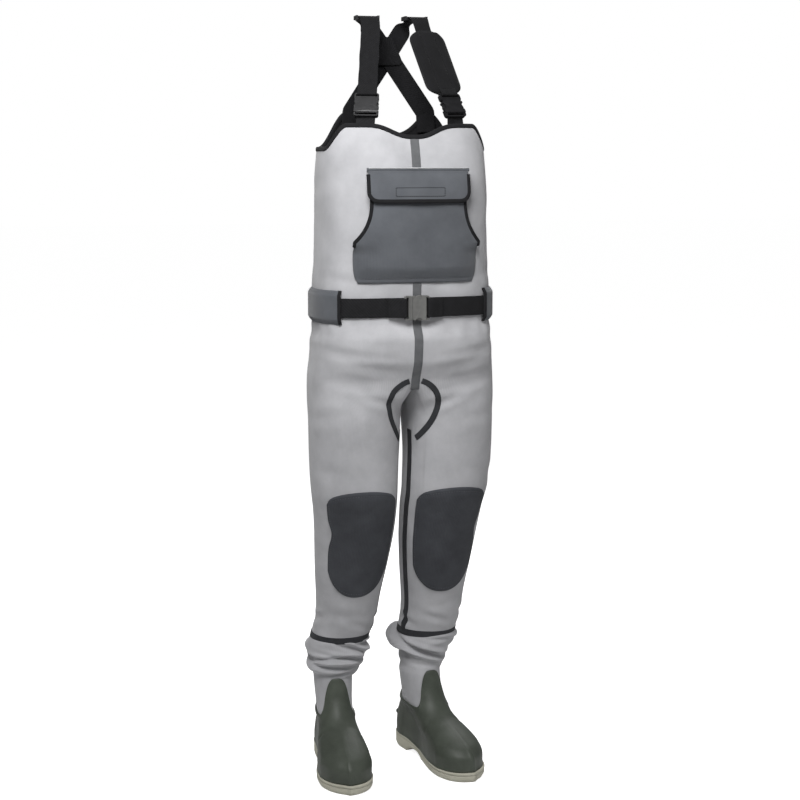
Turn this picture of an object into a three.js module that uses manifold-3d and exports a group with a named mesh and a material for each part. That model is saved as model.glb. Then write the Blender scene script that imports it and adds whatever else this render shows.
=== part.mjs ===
// Boot-foot chest waders in 4.5 mm neoprene, standing on their own soles.
// Millimetres, +Z up. The front of the garment faces -Y and the wearer's left side is +X.
// Heights are measured from the floor under the soles, and depths from the upright axis of the torso.
// At the end the whole model is moved so that its origin is under the middle of its bounding box.
import * as THREE from "three";
import { mergeVertices } from "three/addons/utils/BufferGeometryUtils.js";
import Module from "manifold-3d";

const wasm = await Module();
wasm.setup();

// ---------------------------------------------------------------- driving sizes

const NEOPRENE = 4.5; // wall of every garment panel
const SEAM_GAP = 0.3; // between two pieces that are sewn or glued edge to edge
const LAY_GAP = 0.6; // between a panel and a piece that lies on it
const CROTCH_Z = 852; // where the torso divides into the legs
const BAND_Z = 272; // middle of the tape round each calf
const BAND_WIDTH = 15;
const TAPE_WIDTH = 15;
const TAPE_THICK = 1;

const WEBBING = 40; // width of the belt and of the braces
const WEBBING_THICK = 2;
const BELT_Z = 995;
const BELT_LOOP_HEIGHT = 68;
const BELT_LOOP_THICK = 3;

const BUCKLE_WIDTH = WEBBING + 9; // side-release buckle for that webbing
const BUCKLE_THICK = 11;
const SOCKET_LENGTH = 36;
const BASE_LENGTH = 15;
const PRONG_LENGTH = 25;
const PRONG_WIDTH = 7;
const PRONG_CLEARANCE = 0.4;

const POCKET_TOP_Z = 1262;
const POCKET_HEIGHT = 218;
const POCKET_HALF = 128; // half the pocket's width at its foot
const FLAP_HALF = 102;
const FLAP_HEIGHT = 56;
const POCKET_THICK = 3;
const HAND_ROOM = 10; // how far the pouch stands off the middle of the chest
const POUCH_MOUTH = 17; // from the flap's seam down to the pouch's upper edge

const PAD_WIDTH = 80; // shoulder pad, on the wearer's left brace only
const PAD_LENGTH = 146;
const PAD_THICK = 5;

const BOOT_LENGTH = 308;
const BOOT_WALL = 3.5;
const FOREFOOT_SOLE = 20;
const HEEL_SOLE = 31;
const INSOLE_THICK = 5;
const FEET = [
  { side: 1, name: "left", heelX: 60, heelY: 165, splay: 11.5 },
  { side: -1, name: "right", heelX: 117.4, heelY: 165, splay: 5 },
];

// Torso stations: height, half width, front depth and back depth. The waist is straight for the belt.
const TORSO = [
  [840, 193, 112, 126],
  [890, 188, 132, 126],
  [930, 185, 136, 121],
  [965, 181, 121, 111],
  [1025, 181, 121, 111],
  [1080, 178, 125, 114],
  [1150, 175, 129, 117],
  [1220, 174, 126, 118],
  [1290, 171, 113, 115],
  [1350, 163, 95, 110],
  [1400, 156, 86, 105],
];
// Leg stations: height, centre x, centre y, half width and half depth.
const LEG = [
  [122, 98, 88, 36, 59.7],
  [145, 98, 95, 35.8, 54.7],
  [170, 98, 104, 37, 54],
  [195, 98, 108, 44, 56],
  [215, 97, 110, 55, 62],
  [240, 97, 112, 62, 67],
  [272, 97, 108, 62, 66],
  [300, 96, 98, 63, 66],
  [360, 95, 80, 67, 68],
  [430, 93, 58, 75, 74],
  [490, 92, 42, 81, 79],
  [560, 94, 20, 86, 84],
  [610, 98, 6, 89, 90],
  [700, 101, 2, 92, 98],
  [770, 100, 0, 94, 106],
  [860, 100, 0, 96, 112],
];
const TORSO_POWER = 2.7; // how square the torso's section is
const LEG_POWER = 2.15;
const FOOT_SHIFT_TOP_Z = 350; // below this the legs run out to where each boot stands

const COLOURS = {
  panel: [0xb9b9bb, 0.85, 0],
  gusset: [0x9a999c, 0.85, 0],
  tape: [0x3b3c3e, 0.8, 0],
  seam: [0x636363, 0.8, 0],
  patch: [0x5f6269, 0.85, 0],
  knee: [0x3f4145, 0.85, 0],
  webbing: [0x242425, 0.7, 0],
  plastic: [0x2c2c2e, 0.45, 0],
  buckle: [0x787876, 0.4, 0],
  rubber: [0x484b44, 0.6, 0],
  sole: [0xc4c6b9, 0.7, 0],
  insole: [0x5a5c5e, 0.9, 0],
};

// ---------------------------------------------------------------- small helpers

const V = (x, y, z) => new THREE.Vector3(x, y, z);
const lerp = THREE.MathUtils.lerp;
const rad = THREE.MathUtils.degToRad;
const smooth = (x) => THREE.MathUtils.smoothstep(x, 0, 1);
const model = new THREE.Group();

// Reads a station table at a height, with straight lines between stations.
function station(table, z) {
  if (z <= table[0][0]) return table[0];
  for (let i = 1; i < table.length; i++) {
    const [low, high] = [table[i - 1], table[i]];
    if (z <= high[0]) {
      const share = (z - low[0]) / (high[0] - low[0]);
      return low.map((value, k) => lerp(value, high[k], share));
    }
  }
  return table[table.length - 1];
}

function addMesh(name, geometry, colour, parent = model) {
  const [color, roughness, metalness] = COLOURS[colour];
  const mesh = new THREE.Mesh(
    geometry,
    new THREE.MeshStandardMaterial({ color, roughness, metalness }),
  );
  mesh.name = name;
  parent.add(mesh);
  return mesh;
}

// Turns every face outwards, by the sign of the volume that the faces enclose.
function faceOut(geometry) {
  const p = geometry.getAttribute("position");
  const index = geometry.index.array;
  const [a, b, c] = [V(0, 0, 0), V(0, 0, 0), V(0, 0, 0)];
  let volume = 0;
  for (let i = 0; i < index.length; i += 3) {
    a.fromBufferAttribute(p, index[i]);
    b.fromBufferAttribute(p, index[i + 1]);
    c.fromBufferAttribute(p, index[i + 2]);
    volume += a.dot(b.cross(c));
  }
  if (volume < 0)
    for (let i = 0; i < index.length; i += 3)
      [index[i + 1], index[i + 2]] = [index[i + 2], index[i + 1]];
  return geometry;
}

// A closed wall between two grids of points. With wrap, the grid closes on itself along u.
function wall(nu, nv, outer, inner, wrap = false) {
  const columns = wrap ? nu : nu + 1;
  const points = [];
  for (const face of [outer, inner])
    for (let j = 0; j <= nv; j++)
      for (let i = 0; i < columns; i++) points.push(...face(i / nu, j / nv).toArray());
  const side = columns * (nv + 1);
  const at = (layer, i, j) => layer * side + j * columns + (i % columns);
  const index = [];
  const quad = (a, b, c, d) => index.push(a, b, c, a, c, d);
  for (let i = 0; i < nu; i++) {
    for (let j = 0; j < nv; j++) {
      quad(at(0, i, j), at(0, i + 1, j), at(0, i + 1, j + 1), at(0, i, j + 1));
      quad(at(1, i, j), at(1, i, j + 1), at(1, i + 1, j + 1), at(1, i + 1, j));
    }
    quad(at(0, i, nv), at(0, i + 1, nv), at(1, i + 1, nv), at(1, i, nv));
    quad(at(0, i + 1, 0), at(0, i, 0), at(1, i, 0), at(1, i + 1, 0));
  }
  if (!wrap)
    for (let j = 0; j < nv; j++) {
      quad(at(0, 0, j), at(0, 0, j + 1), at(1, 0, j + 1), at(1, 0, j));
      quad(at(0, nu, j + 1), at(0, nu, j), at(1, nu, j), at(1, nu, j + 1));
    }
  const made = new THREE.BufferGeometry();
  made.setAttribute("position", new THREE.Float32BufferAttribute(points, 3));
  made.setIndex(index);
  return faceOut(made);
}

// A strap or tape: stations of {at, across, out, width, thick}, lying on the side that out points to.
function ribbon(stations, wrap = false) {
  const last = stations.length - (wrap ? 0 : 1);
  const pick = (u, lift, edge) => {
    const s = stations[Math.round(u * last) % stations.length];
    return s.at
      .clone()
      .addScaledVector(s.across, edge * s.width)
      .addScaledVector(s.out, lift ? s.thick : 0);
  };
  return wall(
    last,
    1,
    (u, v) => pick(u, true, v - 0.5),
    (u, v) => pick(u, false, v - 0.5),
    wrap,
  );
}

function mirrored(geometry) {
  const copy = geometry.clone();
  copy.scale(-1, 1, 1);
  return faceOut(copy);
}

// Mirrors a geometry for the wearer's right side, so that both sides share one drawing.
const forSide = (side, geometry) => (side > 0 ? geometry : mirrored(geometry));

// The same solid for manifold-3d, which cuts and joins.
function toSolid(geometry) {
  const bare = new THREE.BufferGeometry();
  const source = geometry.index ? geometry.toNonIndexed() : geometry;
  bare.setAttribute("position", source.getAttribute("position").clone());
  const merged = mergeVertices(bare, 1e-4);
  return new wasm.Manifold(
    new wasm.Mesh({
      numProp: 3,
      vertProperties: new Float32Array(merged.getAttribute("position").array),
      triVerts: new Uint32Array(merged.index.array),
    }),
  );
}

function toGeometry(solid) {
  const mesh = solid.getMesh();
  const made = new THREE.BufferGeometry();
  made.setAttribute("position", new THREE.Float32BufferAttribute(mesh.vertProperties, 3));
  made.setIndex([...mesh.triVerts]);
  return made;
}

// Cuts the second and later geometries out of the first.
function cut(first, ...tools) {
  let solid = toSolid(first);
  for (const tool of tools) solid = solid.subtract(toSolid(tool));
  return toGeometry(solid);
}

function join(...parts) {
  let solid = toSolid(parts[0]);
  for (const part of parts.slice(1)) solid = solid.add(toSolid(part));
  return toGeometry(solid);
}

const block = (w, l, h, x, y, z) => new THREE.BoxGeometry(w, l, h).translate(x, y, z);

// A flat plate with rounded corners, from its outline's half sizes, centred on its own middle.
function roundedPlate(width, length, thick, corner) {
  const [w, l] = [width / 2, length / 2];
  const shape = new THREE.Shape();
  shape.moveTo(-w + corner, -l);
  shape.lineTo(w - corner, -l);
  shape.absarc(w - corner, -l + corner, corner, -Math.PI / 2, 0);
  shape.absarc(w - corner, l - corner, corner, 0, Math.PI / 2);
  shape.absarc(-w + corner, l - corner, corner, Math.PI / 2, Math.PI);
  shape.absarc(-w + corner, -l + corner, corner, Math.PI, 1.5 * Math.PI);
  const options = { depth: thick, bevelEnabled: false, curveSegments: 4 };
  return new THREE.ExtrudeGeometry(shape, options).translate(0, 0, -thick / 2);
}

// ---------------------------------------------------------------- the body's form

const power = (value, n) => Math.sign(value) * Math.abs(value) ** (2 / n);

// A point on the torso: angle -90 is the centre front, 0 the wearer's left side, 90 the centre back.
function torsoPoint(degrees, z, inset = 0) {
  const [, half, front, back] = station(TORSO, z);
  const a = rad(degrees);
  const depth = (Math.sin(a) < 0 ? front : back) - inset;
  const x = (half - inset) * power(Math.cos(a), TORSO_POWER);
  return V(x, depth * power(Math.sin(a), TORSO_POWER), z);
}

// How far the chest comes forward at a given x and height.
function chestY(x, z) {
  const [, half, front] = station(TORSO, z);
  const share = Math.min(1, Math.abs(x) / half) ** TORSO_POWER;
  return -front * (1 - share) ** (1 / TORSO_POWER);
}

// The angle on the torso at which the front surface has this x.
function chestAngle(x, z) {
  const [, half] = station(TORSO, z);
  return -THREE.MathUtils.radToDeg(Math.acos((Math.abs(x) / half) ** (TORSO_POWER / 2)));
}

// Below the calf the leg leans towards its own boot. The result is the shift along x.
function footShift(foot, z) {
  const away = (FOOT_SHIFT_TOP_Z - z) / (FOOT_SHIFT_TOP_Z - 140);
  const ankle = foot.heelX + 80 * Math.sin(rad(foot.splay));
  return (ankle - 98) * smooth(away);
}

// A point on a leg, drawn for the left side. t runs from the front inner line round the outside
// to the back inner line (0.75), and back along the inside of the thigh to 1.
function legPoint(foot, t, z, inset = 0) {
  const [, cx, cy, halfWidth, halfDepth] = station(LEG, z);
  const a = rad(-135 + 360 * t);
  const round = V(
    cx + footShift(foot, z) + (halfWidth - inset) * power(Math.cos(a), LEG_POWER),
    cy + (halfDepth - inset) * power(Math.sin(a), LEG_POWER),
    z,
  );
  const blend = smooth((CROTCH_Z - z) / 85);
  if (blend >= 1) return round;
  const inner = SEAM_GAP / 2 + inset;
  let half;
  if (t <= 0.75) half = torsoPoint(-90 + 240 * t, Math.max(z, 840), inset);
  else {
    const [back, front] = [torsoPoint(90, 840, inset).y, torsoPoint(-90, 840, inset).y];
    half = V(0, lerp(back, front, (t - 0.75) / 0.25), z);
  }
  half.x = Math.max(half.x, inner);
  half.z = z;
  return half.lerp(round, blend);
}

const legAngle = (degrees) => (((degrees + 135) / 360) % 1 + 1) % 1;

// A point on a surface(u, v), with the outward normal and the two directions along it.
function surfaceFrame(surface, u, v, du, dv) {
  const at = surface(u, v);
  const alongU = surface(u + du, v).sub(surface(u - du, v)).normalize();
  const alongV = surface(u, v + dv).sub(surface(u, v - dv)).normalize();
  const out = alongU.clone().cross(alongV).normalize();
  return { at, alongU, alongV, out };
}

// A tape that follows a path of [u, v] on a surface, lifted off it by LAY_GAP.
function tapeOn(surface, path, width, thick, step = [0.004, 2], lift = LAY_GAP) {
  const frames = path.map(([u, v]) => surfaceFrame(surface, u, v, ...step));
  return ribbon(
    frames.map((frame, i) => {
      const before = frames[Math.max(0, i - 1)].at;
      const after = frames[Math.min(frames.length - 1, i + 1)].at;
      const along = after.clone().sub(before).normalize();
      const across = along.clone().cross(frame.out).normalize();
      const at = frame.at.clone().addScaledVector(frame.out, lift);
      return { at, across, out: frame.out, width, thick };
    }),
  );
}

const steps = (n, f) => Array.from({ length: n + 1 }, (_, i) => f(i / n));

// ---------------------------------------------------------------- bib and torso

const ARMPIT_Z = 1306;
const BIB_RISE = 46; // from the armpits to the front buckles
const NECK_DIP = 23; // how far the middle of the front lies below the buckles
const BACK_RISE = 72; // from the armpits to the two lobes that carry the braces at the back
const PANEL_COLUMNS = 18; // one every 10 degrees from the front seam to the back seam

// The upper edge of the bib at an angle round the torso.
function neckZ(degrees) {
  const bump = (centre, spread) => Math.exp(-(((degrees - centre) / spread) ** 2));
  const front = BIB_RISE * smooth((-degrees - 12) / 30) - NECK_DIP * bump(-90, 13);
  const back = BACK_RISE * bump(62, 17) + 20 * bump(90, 15);
  return ARMPIT_Z + (degrees < 0 ? front : back);
}

const BINDING_HEIGHT = 7;
const BINDING_RISE = NEOPRENE * 0.211; // from the cut edge of the panel to the foot of the binding
const panelRows = TORSO.map(([z]) => z).filter((z) => z > CROTCH_Z + 20 && z < ARMPIT_Z - 10);
const torsoPanel = wall(
  PANEL_COLUMNS,
  panelRows.length + 1,
  (u, v) => torsoWall(u, v, 0),
  (u, v) => torsoWall(u, v, NEOPRENE),
);
function torsoWall(u, v, inset) {
  const degrees = -90 + 180 * u;
  const rows = [CROTCH_Z + SEAM_GAP, ...panelRows, neckZ(degrees)];
  const z = rows[Math.round(v * (rows.length - 1))];
  const p = torsoPoint(degrees, z, inset);
  p.x += SEAM_GAP / 2;
  return p;
}

// The black binding is a ring that caps the cut edge all the way round.
const NECK_STEPS = 2 * PANEL_COLUMNS;
const neckBinding = ribbon(
  Array.from({ length: NECK_STEPS }, (_, i) => {
    const turn = -90 + (360 * i) / NECK_STEPS;
    const mirror = turn > 90 ? -1 : 1;
    const degrees = turn > 90 ? 180 - turn : turn;
    const z = neckZ(degrees) + BINDING_RISE + BINDING_HEIGHT / 2;
    const outer = torsoPoint(degrees, z, -1);
    const inner = torsoPoint(degrees, z, NEOPRENE + 1);
    outer.x *= mirror;
    inner.x *= mirror;
    const out = outer.clone().sub(inner);
    const thick = out.length();
    return { at: inner, across: V(0, 0, 1), out: out.normalize(), width: BINDING_HEIGHT, thick };
  }),
  true,
);
addMesh("neck_binding", neckBinding, "tape");

for (const foot of FEET) addMesh("torso_panel_" + foot.name, forSide(foot.side, torsoPanel), "panel");

// ---------------------------------------------------------------- legs

const LEG_COLUMNS = 24;
const LEG_END_Z = BAND_Z - 1;
function legWall(foot, rows, around) {
  const up = rows.length - 1;
  const at = (u, v, inset) => legPoint(foot, u, rows[Math.round(v * up)], inset);
  return wall(around, up, (u, v) => at(u, v, 0), (u, v) => at(u, v, NEOPRENE), true);
}
const legHeights = LEG.map(([z]) => z);
const sleeveRows = [...legHeights.filter((z) => z < LEG_END_Z - 10), LEG_END_Z - SEAM_GAP];
const legRows = [
  LEG_END_Z,
  ...legHeights.filter((z) => z > LEG_END_Z + 10 && z < CROTCH_Z - 10),
  lerp(770, CROTCH_Z, 0.35),
  lerp(770, CROTCH_Z, 0.7),
  CROTCH_Z,
];

const inseamTop = 735;
function onLeg(foot) {
  return (u, z) => legPoint(foot, u, z);
}

for (const foot of FEET) {
  const named = (name) => name + "_" + foot.name;
  const add = (name, geometry, colour) => addMesh(named(name), forSide(foot.side, geometry), colour);

  add("leg_panel", legWall(foot, legRows, LEG_COLUMNS), "panel");
  add("ankle_sleeve", legWall(foot, sleeveRows, LEG_COLUMNS), "panel");

  // The calf tape covers the joint between leg and sleeve.
  const band = Array.from({ length: LEG_COLUMNS }, (_, i) => {
    const frame = surfaceFrame(onLeg(foot), i / LEG_COLUMNS, BAND_Z, 0.01, 2);
    const at = frame.at.clone().addScaledVector(frame.out, 1.2);
    return { at, across: frame.alongV, out: frame.out, width: BAND_WIDTH, thick: TAPE_THICK };
  });
  add("calf_band", ribbon(band, true), "tape");

  // The inseam tape runs down the inside of the leg, from the gusset to the calf tape.
  const inseam = steps(12, (s) => [legAngle(188), lerp(inseamTop, BAND_Z + BAND_WIDTH, s)]);
  add("inseam_tape", tapeOn(onLeg(foot), inseam, TAPE_WIDTH, TAPE_THICK), "tape");

  // The gusset's outline: an arc on the thigh from the crotch, out and down to the inseam.
  const arc = steps(9, (s) => {
    const bulge = Math.sin(Math.PI * s) ** 0.8;
    return [0.006 - 0.004 * s + 0.042 * bulge, lerp(840, 722, s)];
  });
  add("gusset_tape", tapeOn(onLeg(foot), arc, TAPE_WIDTH - 4, TAPE_THICK, [0.01, 2], 1.5), "tape");

  // The knee pad: a patch over the front of the knee, narrower where the knee bends.
  const KNEE_LOW = 378;
  const KNEE_HIGH = 612;
  const KNEE_HALF = 53; // degrees round the leg
  const kneeThick = 2;
  const kneeWall = (u, v, lift) => {
    const e = 2 * u - 1;
    const low = KNEE_LOW + 85 * (1 - Math.sqrt(1 - Math.abs(e) ** 2.4));
    const z = lerp(low, KNEE_HIGH - 20 * e * e, v);
    const waist = u > 0.5 ? 5 * Math.exp(-(((z - 520) / 25) ** 2)) : 0;
    const frame = surfaceFrame(onLeg(foot), legAngle(-90 + e * (KNEE_HALF - waist)), z, 0.004, 2);
    return frame.at.addScaledVector(frame.out, lift);
  };
  const kneeLift = 1.3; // the pad's flat facets stay clear of the leg
  const kneeOuter = (u, v) => kneeWall(u, v, kneeLift + kneeThick);
  const kneeInner = (u, v) => kneeWall(u, v, kneeLift);
  add("knee_pad", wall(10, 8, kneeOuter, kneeInner), "knee");
}

// ---------------------------------------------------------------- seam tapes on the torso

const onTorso = (degrees, z) => torsoPoint(degrees, z);
const SEAM_TAPE_WIDTH = 18;
const FLAP_SEAM = 9; // height of the seam that holds the pocket's flap
function centreTape(degrees, low, high) {
  const heights = [low, ...panelRows.filter((z) => z > low + 8 && z < high - 8), high];
  return ribbon(
    heights.map((z) => {
      const at = torsoPoint(degrees, z);
      const out = V(0, Math.sign(degrees), 0);
      at.addScaledVector(out, LAY_GAP + 0.2);
      return { at, across: V(1, 0, 0), out, width: SEAM_TAPE_WIDTH, thick: TAPE_THICK };
    }),
  );
}
const tapeTop = neckZ(-90) - 2;
addMesh("front_seam_tape_upper", centreTape(-90, POCKET_TOP_Z + FLAP_SEAM + 2, tapeTop), "seam");
const pocketFootZ = POCKET_TOP_Z - POCKET_HEIGHT;
addMesh("front_seam_tape_lower", centreTape(-90, CROTCH_Z + 4, pocketFootZ - 6), "seam");
addMesh("back_seam_tape", centreTape(90, CROTCH_Z + 4, neckZ(90) - 2), "seam");

// ---------------------------------------------------------------- hand-warmer pocket

const handFootZ = POCKET_TOP_Z - 137; // where each hand opening ends
const pouchTopZ = POCKET_TOP_Z - POUCH_MOUTH;

// Half width of the pouch at a height: narrow under the flap, flaring to the foot of the hand openings.
function pouchHalf(z) {
  if (z < handFootZ) {
    const down = (handFootZ - z) / (handFootZ - pocketFootZ);
    return POCKET_HALF - 12 * down ** 2.2;
  }
  const up = Math.min(1, (z - handFootZ) / 84);
  return FLAP_HALF - 6 + (POCKET_HALF - FLAP_HALF + 6) * (1 - up) ** 2.5;
}

// How far the back of the pouch stands off the chest where it is not sewn down.
const standOff = (x) => LAY_GAP + HAND_ROOM + 5 * (x / POCKET_HALF) ** 2;

// The pouch comes down to the chest along its foot and its lower sides.
function pouchBack(x, z) {
  const foot = smooth((z - pocketFootZ) / 34);
  const edge = Math.min(1, Math.abs(x) / pouchHalf(z));
  const sewn = z < handFootZ ? 1 - edge ** 5 * smooth((handFootZ - z) / 25) : 1;
  return chestY(x, z) - lerp(LAY_GAP + 0.3, standOff(x), foot * sewn);
}

// The pouch is drawn on rows of one height each, four below the hand openings and six beside them.
const LOW_ROWS = 4;
const pouchHeights = [
  ...steps(LOW_ROWS, (s) => lerp(pocketFootZ, handFootZ, s)),
  ...steps(6, (s) => lerp(handFootZ, pouchTopZ, s)).slice(1),
];
function pouchWall(u, v, lift) {
  const z = pouchHeights[Math.round(v * (pouchHeights.length - 1))];
  const x = lerp(-1, 1, u) * pouchHalf(z);
  return V(x, pouchBack(x, z) - lift, z);
}
const pouch = wall(
  12,
  pouchHeights.length - 1,
  (u, v) => pouchWall(u, v, POCKET_THICK),
  (u, v) => pouchWall(u, v, 0),
);
addMesh("pocket_pouch", pouch, "patch");

// The flap hangs in front of the pouch, with the hook and loop strips between them.
const GRIP_HALF = 50;
const GRIP_HEIGHT = 14;
const GRIP_THICK = 1.2;
const gripRoom = LAY_GAP + 2 * GRIP_THICK + 1.2;
const flapBack = (x, z) => chestY(x, z) - standOff(x) - POCKET_THICK - gripRoom;

// A seam allowance holds the flap to the chest above the pouch.
const HINGE_GAP = 0.8;
const seamLowZ = POCKET_TOP_Z + HINGE_GAP / 2;
const flapColumns = steps(12, (s) => lerp(-FLAP_HALF, FLAP_HALF, s));
const flapSeam = ribbon(
  flapColumns.map((x) => {
    const z = seamLowZ + FLAP_SEAM / 2;
    const at = V(x, chestY(x, z) - LAY_GAP - 0.9, z);
    const thick = at.y - flapBack(x, POCKET_TOP_Z) + POCKET_THICK / 2;
    return { at, across: V(0, 0, 1), out: V(0, -1, 0), width: FLAP_SEAM, thick };
  }),
);
addMesh("flap_seam", flapSeam, "patch");

const flapTopZ = POCKET_TOP_Z - HINGE_GAP / 2;
const flapFootZ = POCKET_TOP_Z - FLAP_HEIGHT;
const FLAP_CORNER = 18;
// The flap's lower corners are rounded, so its foot rises towards the sides.
function flapLowZ(x) {
  const past = Math.max(0, Math.abs(x) - (FLAP_HALF - FLAP_CORNER)) / FLAP_CORNER;
  return flapFootZ + FLAP_CORNER * (1 - Math.sqrt(Math.max(0, 1 - (0.96 * past) ** 2)));
}
function flapWall(u, v, lift) {
  const x = lerp(-FLAP_HALF, FLAP_HALF, u);
  const z = lerp(flapLowZ(x), flapTopZ, v);
  return V(x, flapBack(x, z) - lift, z);
}
const flap = wall(16, 3, (u, v) => flapWall(u, v, POCKET_THICK), (u, v) => flapWall(u, v, 0));
addMesh("pocket_flap", flap, "patch");

// Binding round the three free edges of the flap.
const EDGE_BINDING = 6;
const BINDING_FALL = [0, 0.35, 0.7]; // places down each side of the flap
const flapEdge = [];
const sideZ = (s) => lerp(flapTopZ - 1, flapLowZ(FLAP_HALF) + 2, s);
for (const s of BINDING_FALL) flapEdge.push({ x: -FLAP_HALF, z: sideZ(s), across: V(-1, 0, 0) });
for (let i = 0; i <= 16; i++) {
  const x = lerp(-FLAP_HALF, FLAP_HALF, i / 16);
  const slope = (flapLowZ(x + 1) - flapLowZ(x - 1)) / 2;
  const tilt = Math.abs(x) > FLAP_HALF - 1 ? Math.sign(x) * 2.2 : slope;
  flapEdge.push({ x, z: flapLowZ(x), across: V(tilt, 0, -1).normalize() });
}
for (const s of [...BINDING_FALL].reverse())
  flapEdge.push({ x: FLAP_HALF, z: sideZ(s), across: V(1, 0, 0) });
const flapBinding = ribbon(
  flapEdge.map(({ x, z, across }) => {
    const at = V(x, flapBack(x, z) + 0.6, z);
    at.addScaledVector(across, SEAM_GAP + EDGE_BINDING / 2);
    return { at, across, out: V(0, -1, 0), width: EDGE_BINDING, thick: POCKET_THICK + 1.6 };
  }),
);
addMesh("flap_binding", flapBinding, "tape");

// Binding along each hand opening of the pouch.
const handBinding = ribbon(
  pouchHeights.slice(LOW_ROWS).map((z, i, all) => {
    const half = pouchHalf(z);
    const [low, high] = [all[Math.max(0, i - 1)], all[Math.min(all.length - 1, i + 1)]];
    const slope = (pouchHalf(high) - pouchHalf(low)) / (high - low);
    const across = V(1, 0, -slope).normalize();
    const at = V(half, pouchBack(half, z) + 0.8, z).addScaledVector(across, 0.6 + EDGE_BINDING / 2);
    return { at, across, out: V(0, -1, 0), width: EDGE_BINDING, thick: POCKET_THICK + 1.6 };
  }),
);
for (const foot of FEET)
  addMesh("hand_binding_" + foot.name, forSide(foot.side, handBinding), "tape");

// Hook strip behind the flap, and the loop strip on the pouch that it closes on.
const gripZ = POCKET_TOP_Z - 38;
function gripStrip(backOf, way) {
  const low = gripZ - GRIP_HEIGHT / 2;
  const at = (u, v, lift) => {
    const [x, z] = [lerp(-GRIP_HALF, GRIP_HALF, u), low + GRIP_HEIGHT * v];
    return V(x, backOf(x, z) + way * lift, z);
  };
  return wall(6, 1, (u, v) => at(u, v, 0), (u, v) => at(u, v, GRIP_THICK));
}
addMesh("flap_hook_strip", gripStrip((x, z) => flapBack(x, z) + 0.4, 1), "webbing");
addMesh(
  "pouch_loop_strip",
  gripStrip((x, z) => chestY(x, z) - standOff(x) - POCKET_THICK - LAY_GAP - 0.3, -1),
  "webbing",
);

// ---------------------------------------------------------------- side-release buckle

// Drawn flat: x across the webbing, y along it with the socket on +y, z through the thickness.
const PLATE = 2.2; // the socket's two cover plates
const socketMouth = 0;
const windowHeight = BUCKLE_THICK - 2 * PLATE;
const barRoom = 9; // length of the slot that the webbing passes through

function buckleSocket() {
  const body = roundedPlate(BUCKLE_WIDTH, SOCKET_LENGTH, BUCKLE_THICK, 5);
  body.translate(0, socketMouth + SOCKET_LENGTH / 2, 0);
  const depth = PRONG_LENGTH + 1.5;
  const cavity = block(BUCKLE_WIDTH + 4, depth, windowHeight, 0, socketMouth + depth / 2 - 0.5, 0);
  const slotY = SOCKET_LENGTH - 2.6 - 2.2;
  const slot = block(WEBBING + 2, 4.4, BUCKLE_THICK + 4, 0, slotY, 0);
  const thin = block(BUCKLE_WIDTH + 4, barRoom, 4, 0, SOCKET_LENGTH - 4.2, BUCKLE_THICK / 2 + 0.4);
  // Thumb notches in the middle of each side show the prongs.
  const notch = [1, -1].map((s) =>
    new THREE.CylinderGeometry(9, 9, BUCKLE_THICK + 4, 14)
      .rotateX(Math.PI / 2)
      .translate(s * (BUCKLE_WIDTH / 2 + 4.5), 13, 0),
  );
  return cut(body, cavity, slot, thin, ...notch);
}

const TONGUE_WIDTH = 9;
function buckleBase() {
  const frame = roundedPlate(BUCKLE_WIDTH, BASE_LENGTH, BUCKLE_THICK - 2, 4);
  frame.translate(0, -SEAM_GAP - BASE_LENGTH / 2, 0);
  const slot = block(WEBBING + 2, 4.6, BUCKLE_THICK + 4, 0, -BASE_LENGTH + 4.6, 0);
  const tongueLength = PRONG_LENGTH - 4;
  const tongue = block(TONGUE_WIDTH, tongueLength + 2, windowHeight - 2, 0, tongueLength / 2 - 1, 0);
  return cut(join(frame, tongue), slot);
}

// One springy arm, with a thumb pad that fills the notch. It turns about its root.
const prongX = BUCKLE_WIDTH / 2 - PRONG_WIDTH / 2 - 3;
function buckleProng(side) {
  const thick = windowHeight - 2 * PRONG_CLEARANCE;
  const shape = new THREE.Shape();
  const half = PRONG_WIDTH / 2;
  shape.moveTo(-half + 1, 0);
  shape.lineTo(half - 2, 0);
  shape.lineTo(half - 1.5, 5);
  shape.quadraticCurveTo(half + 4, 10, half + 3.4, PRONG_LENGTH - 8);
  shape.quadraticCurveTo(half + 1, PRONG_LENGTH - 2, 0, PRONG_LENGTH - 1);
  shape.lineTo(-half + 2, PRONG_LENGTH - 3);
  shape.lineTo(-half + 1, 0);
  const options = { depth: thick, bevelEnabled: false, curveSegments: 4 };
  const arm = new THREE.ExtrudeGeometry(shape, options).translate(prongX, 0.3, -thick / 2);
  return side > 0 ? arm : faceOut(mergeVertices(bareCopy(arm)).scale(-1, 1, 1));
}
function bareCopy(geometry) {
  const bare = new THREE.BufferGeometry();
  bare.setAttribute("position", geometry.getAttribute("position").clone());
  return bare;
}

// Adds a whole buckle in a group. names gives the prefix; colour is the moulding's.
function addBuckle(prefix, group, colour) {
  addMesh(prefix + "_buckle_socket", buckleSocket(), colour, group);
  addMesh(prefix + "_buckle_base", buckleBase(), colour, group);
  addMesh(prefix + "_buckle_prong_a", buckleProng(1), colour, group);
  addMesh(prefix + "_buckle_prong_b", buckleProng(-1), colour, group);
  model.add(group);
}

// Turns a group so that its y axis is along, and its z axis is as near out as it can be.
function aim(group, at, along, out) {
  const x = along.clone().cross(out).normalize();
  const z = x.clone().cross(along).normalize();
  group.matrix.makeBasis(x, along, z).setPosition(at);
  group.matrix.decompose(group.position, group.quaternion, group.scale);
}

// ---------------------------------------------------------------- wading belt

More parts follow.
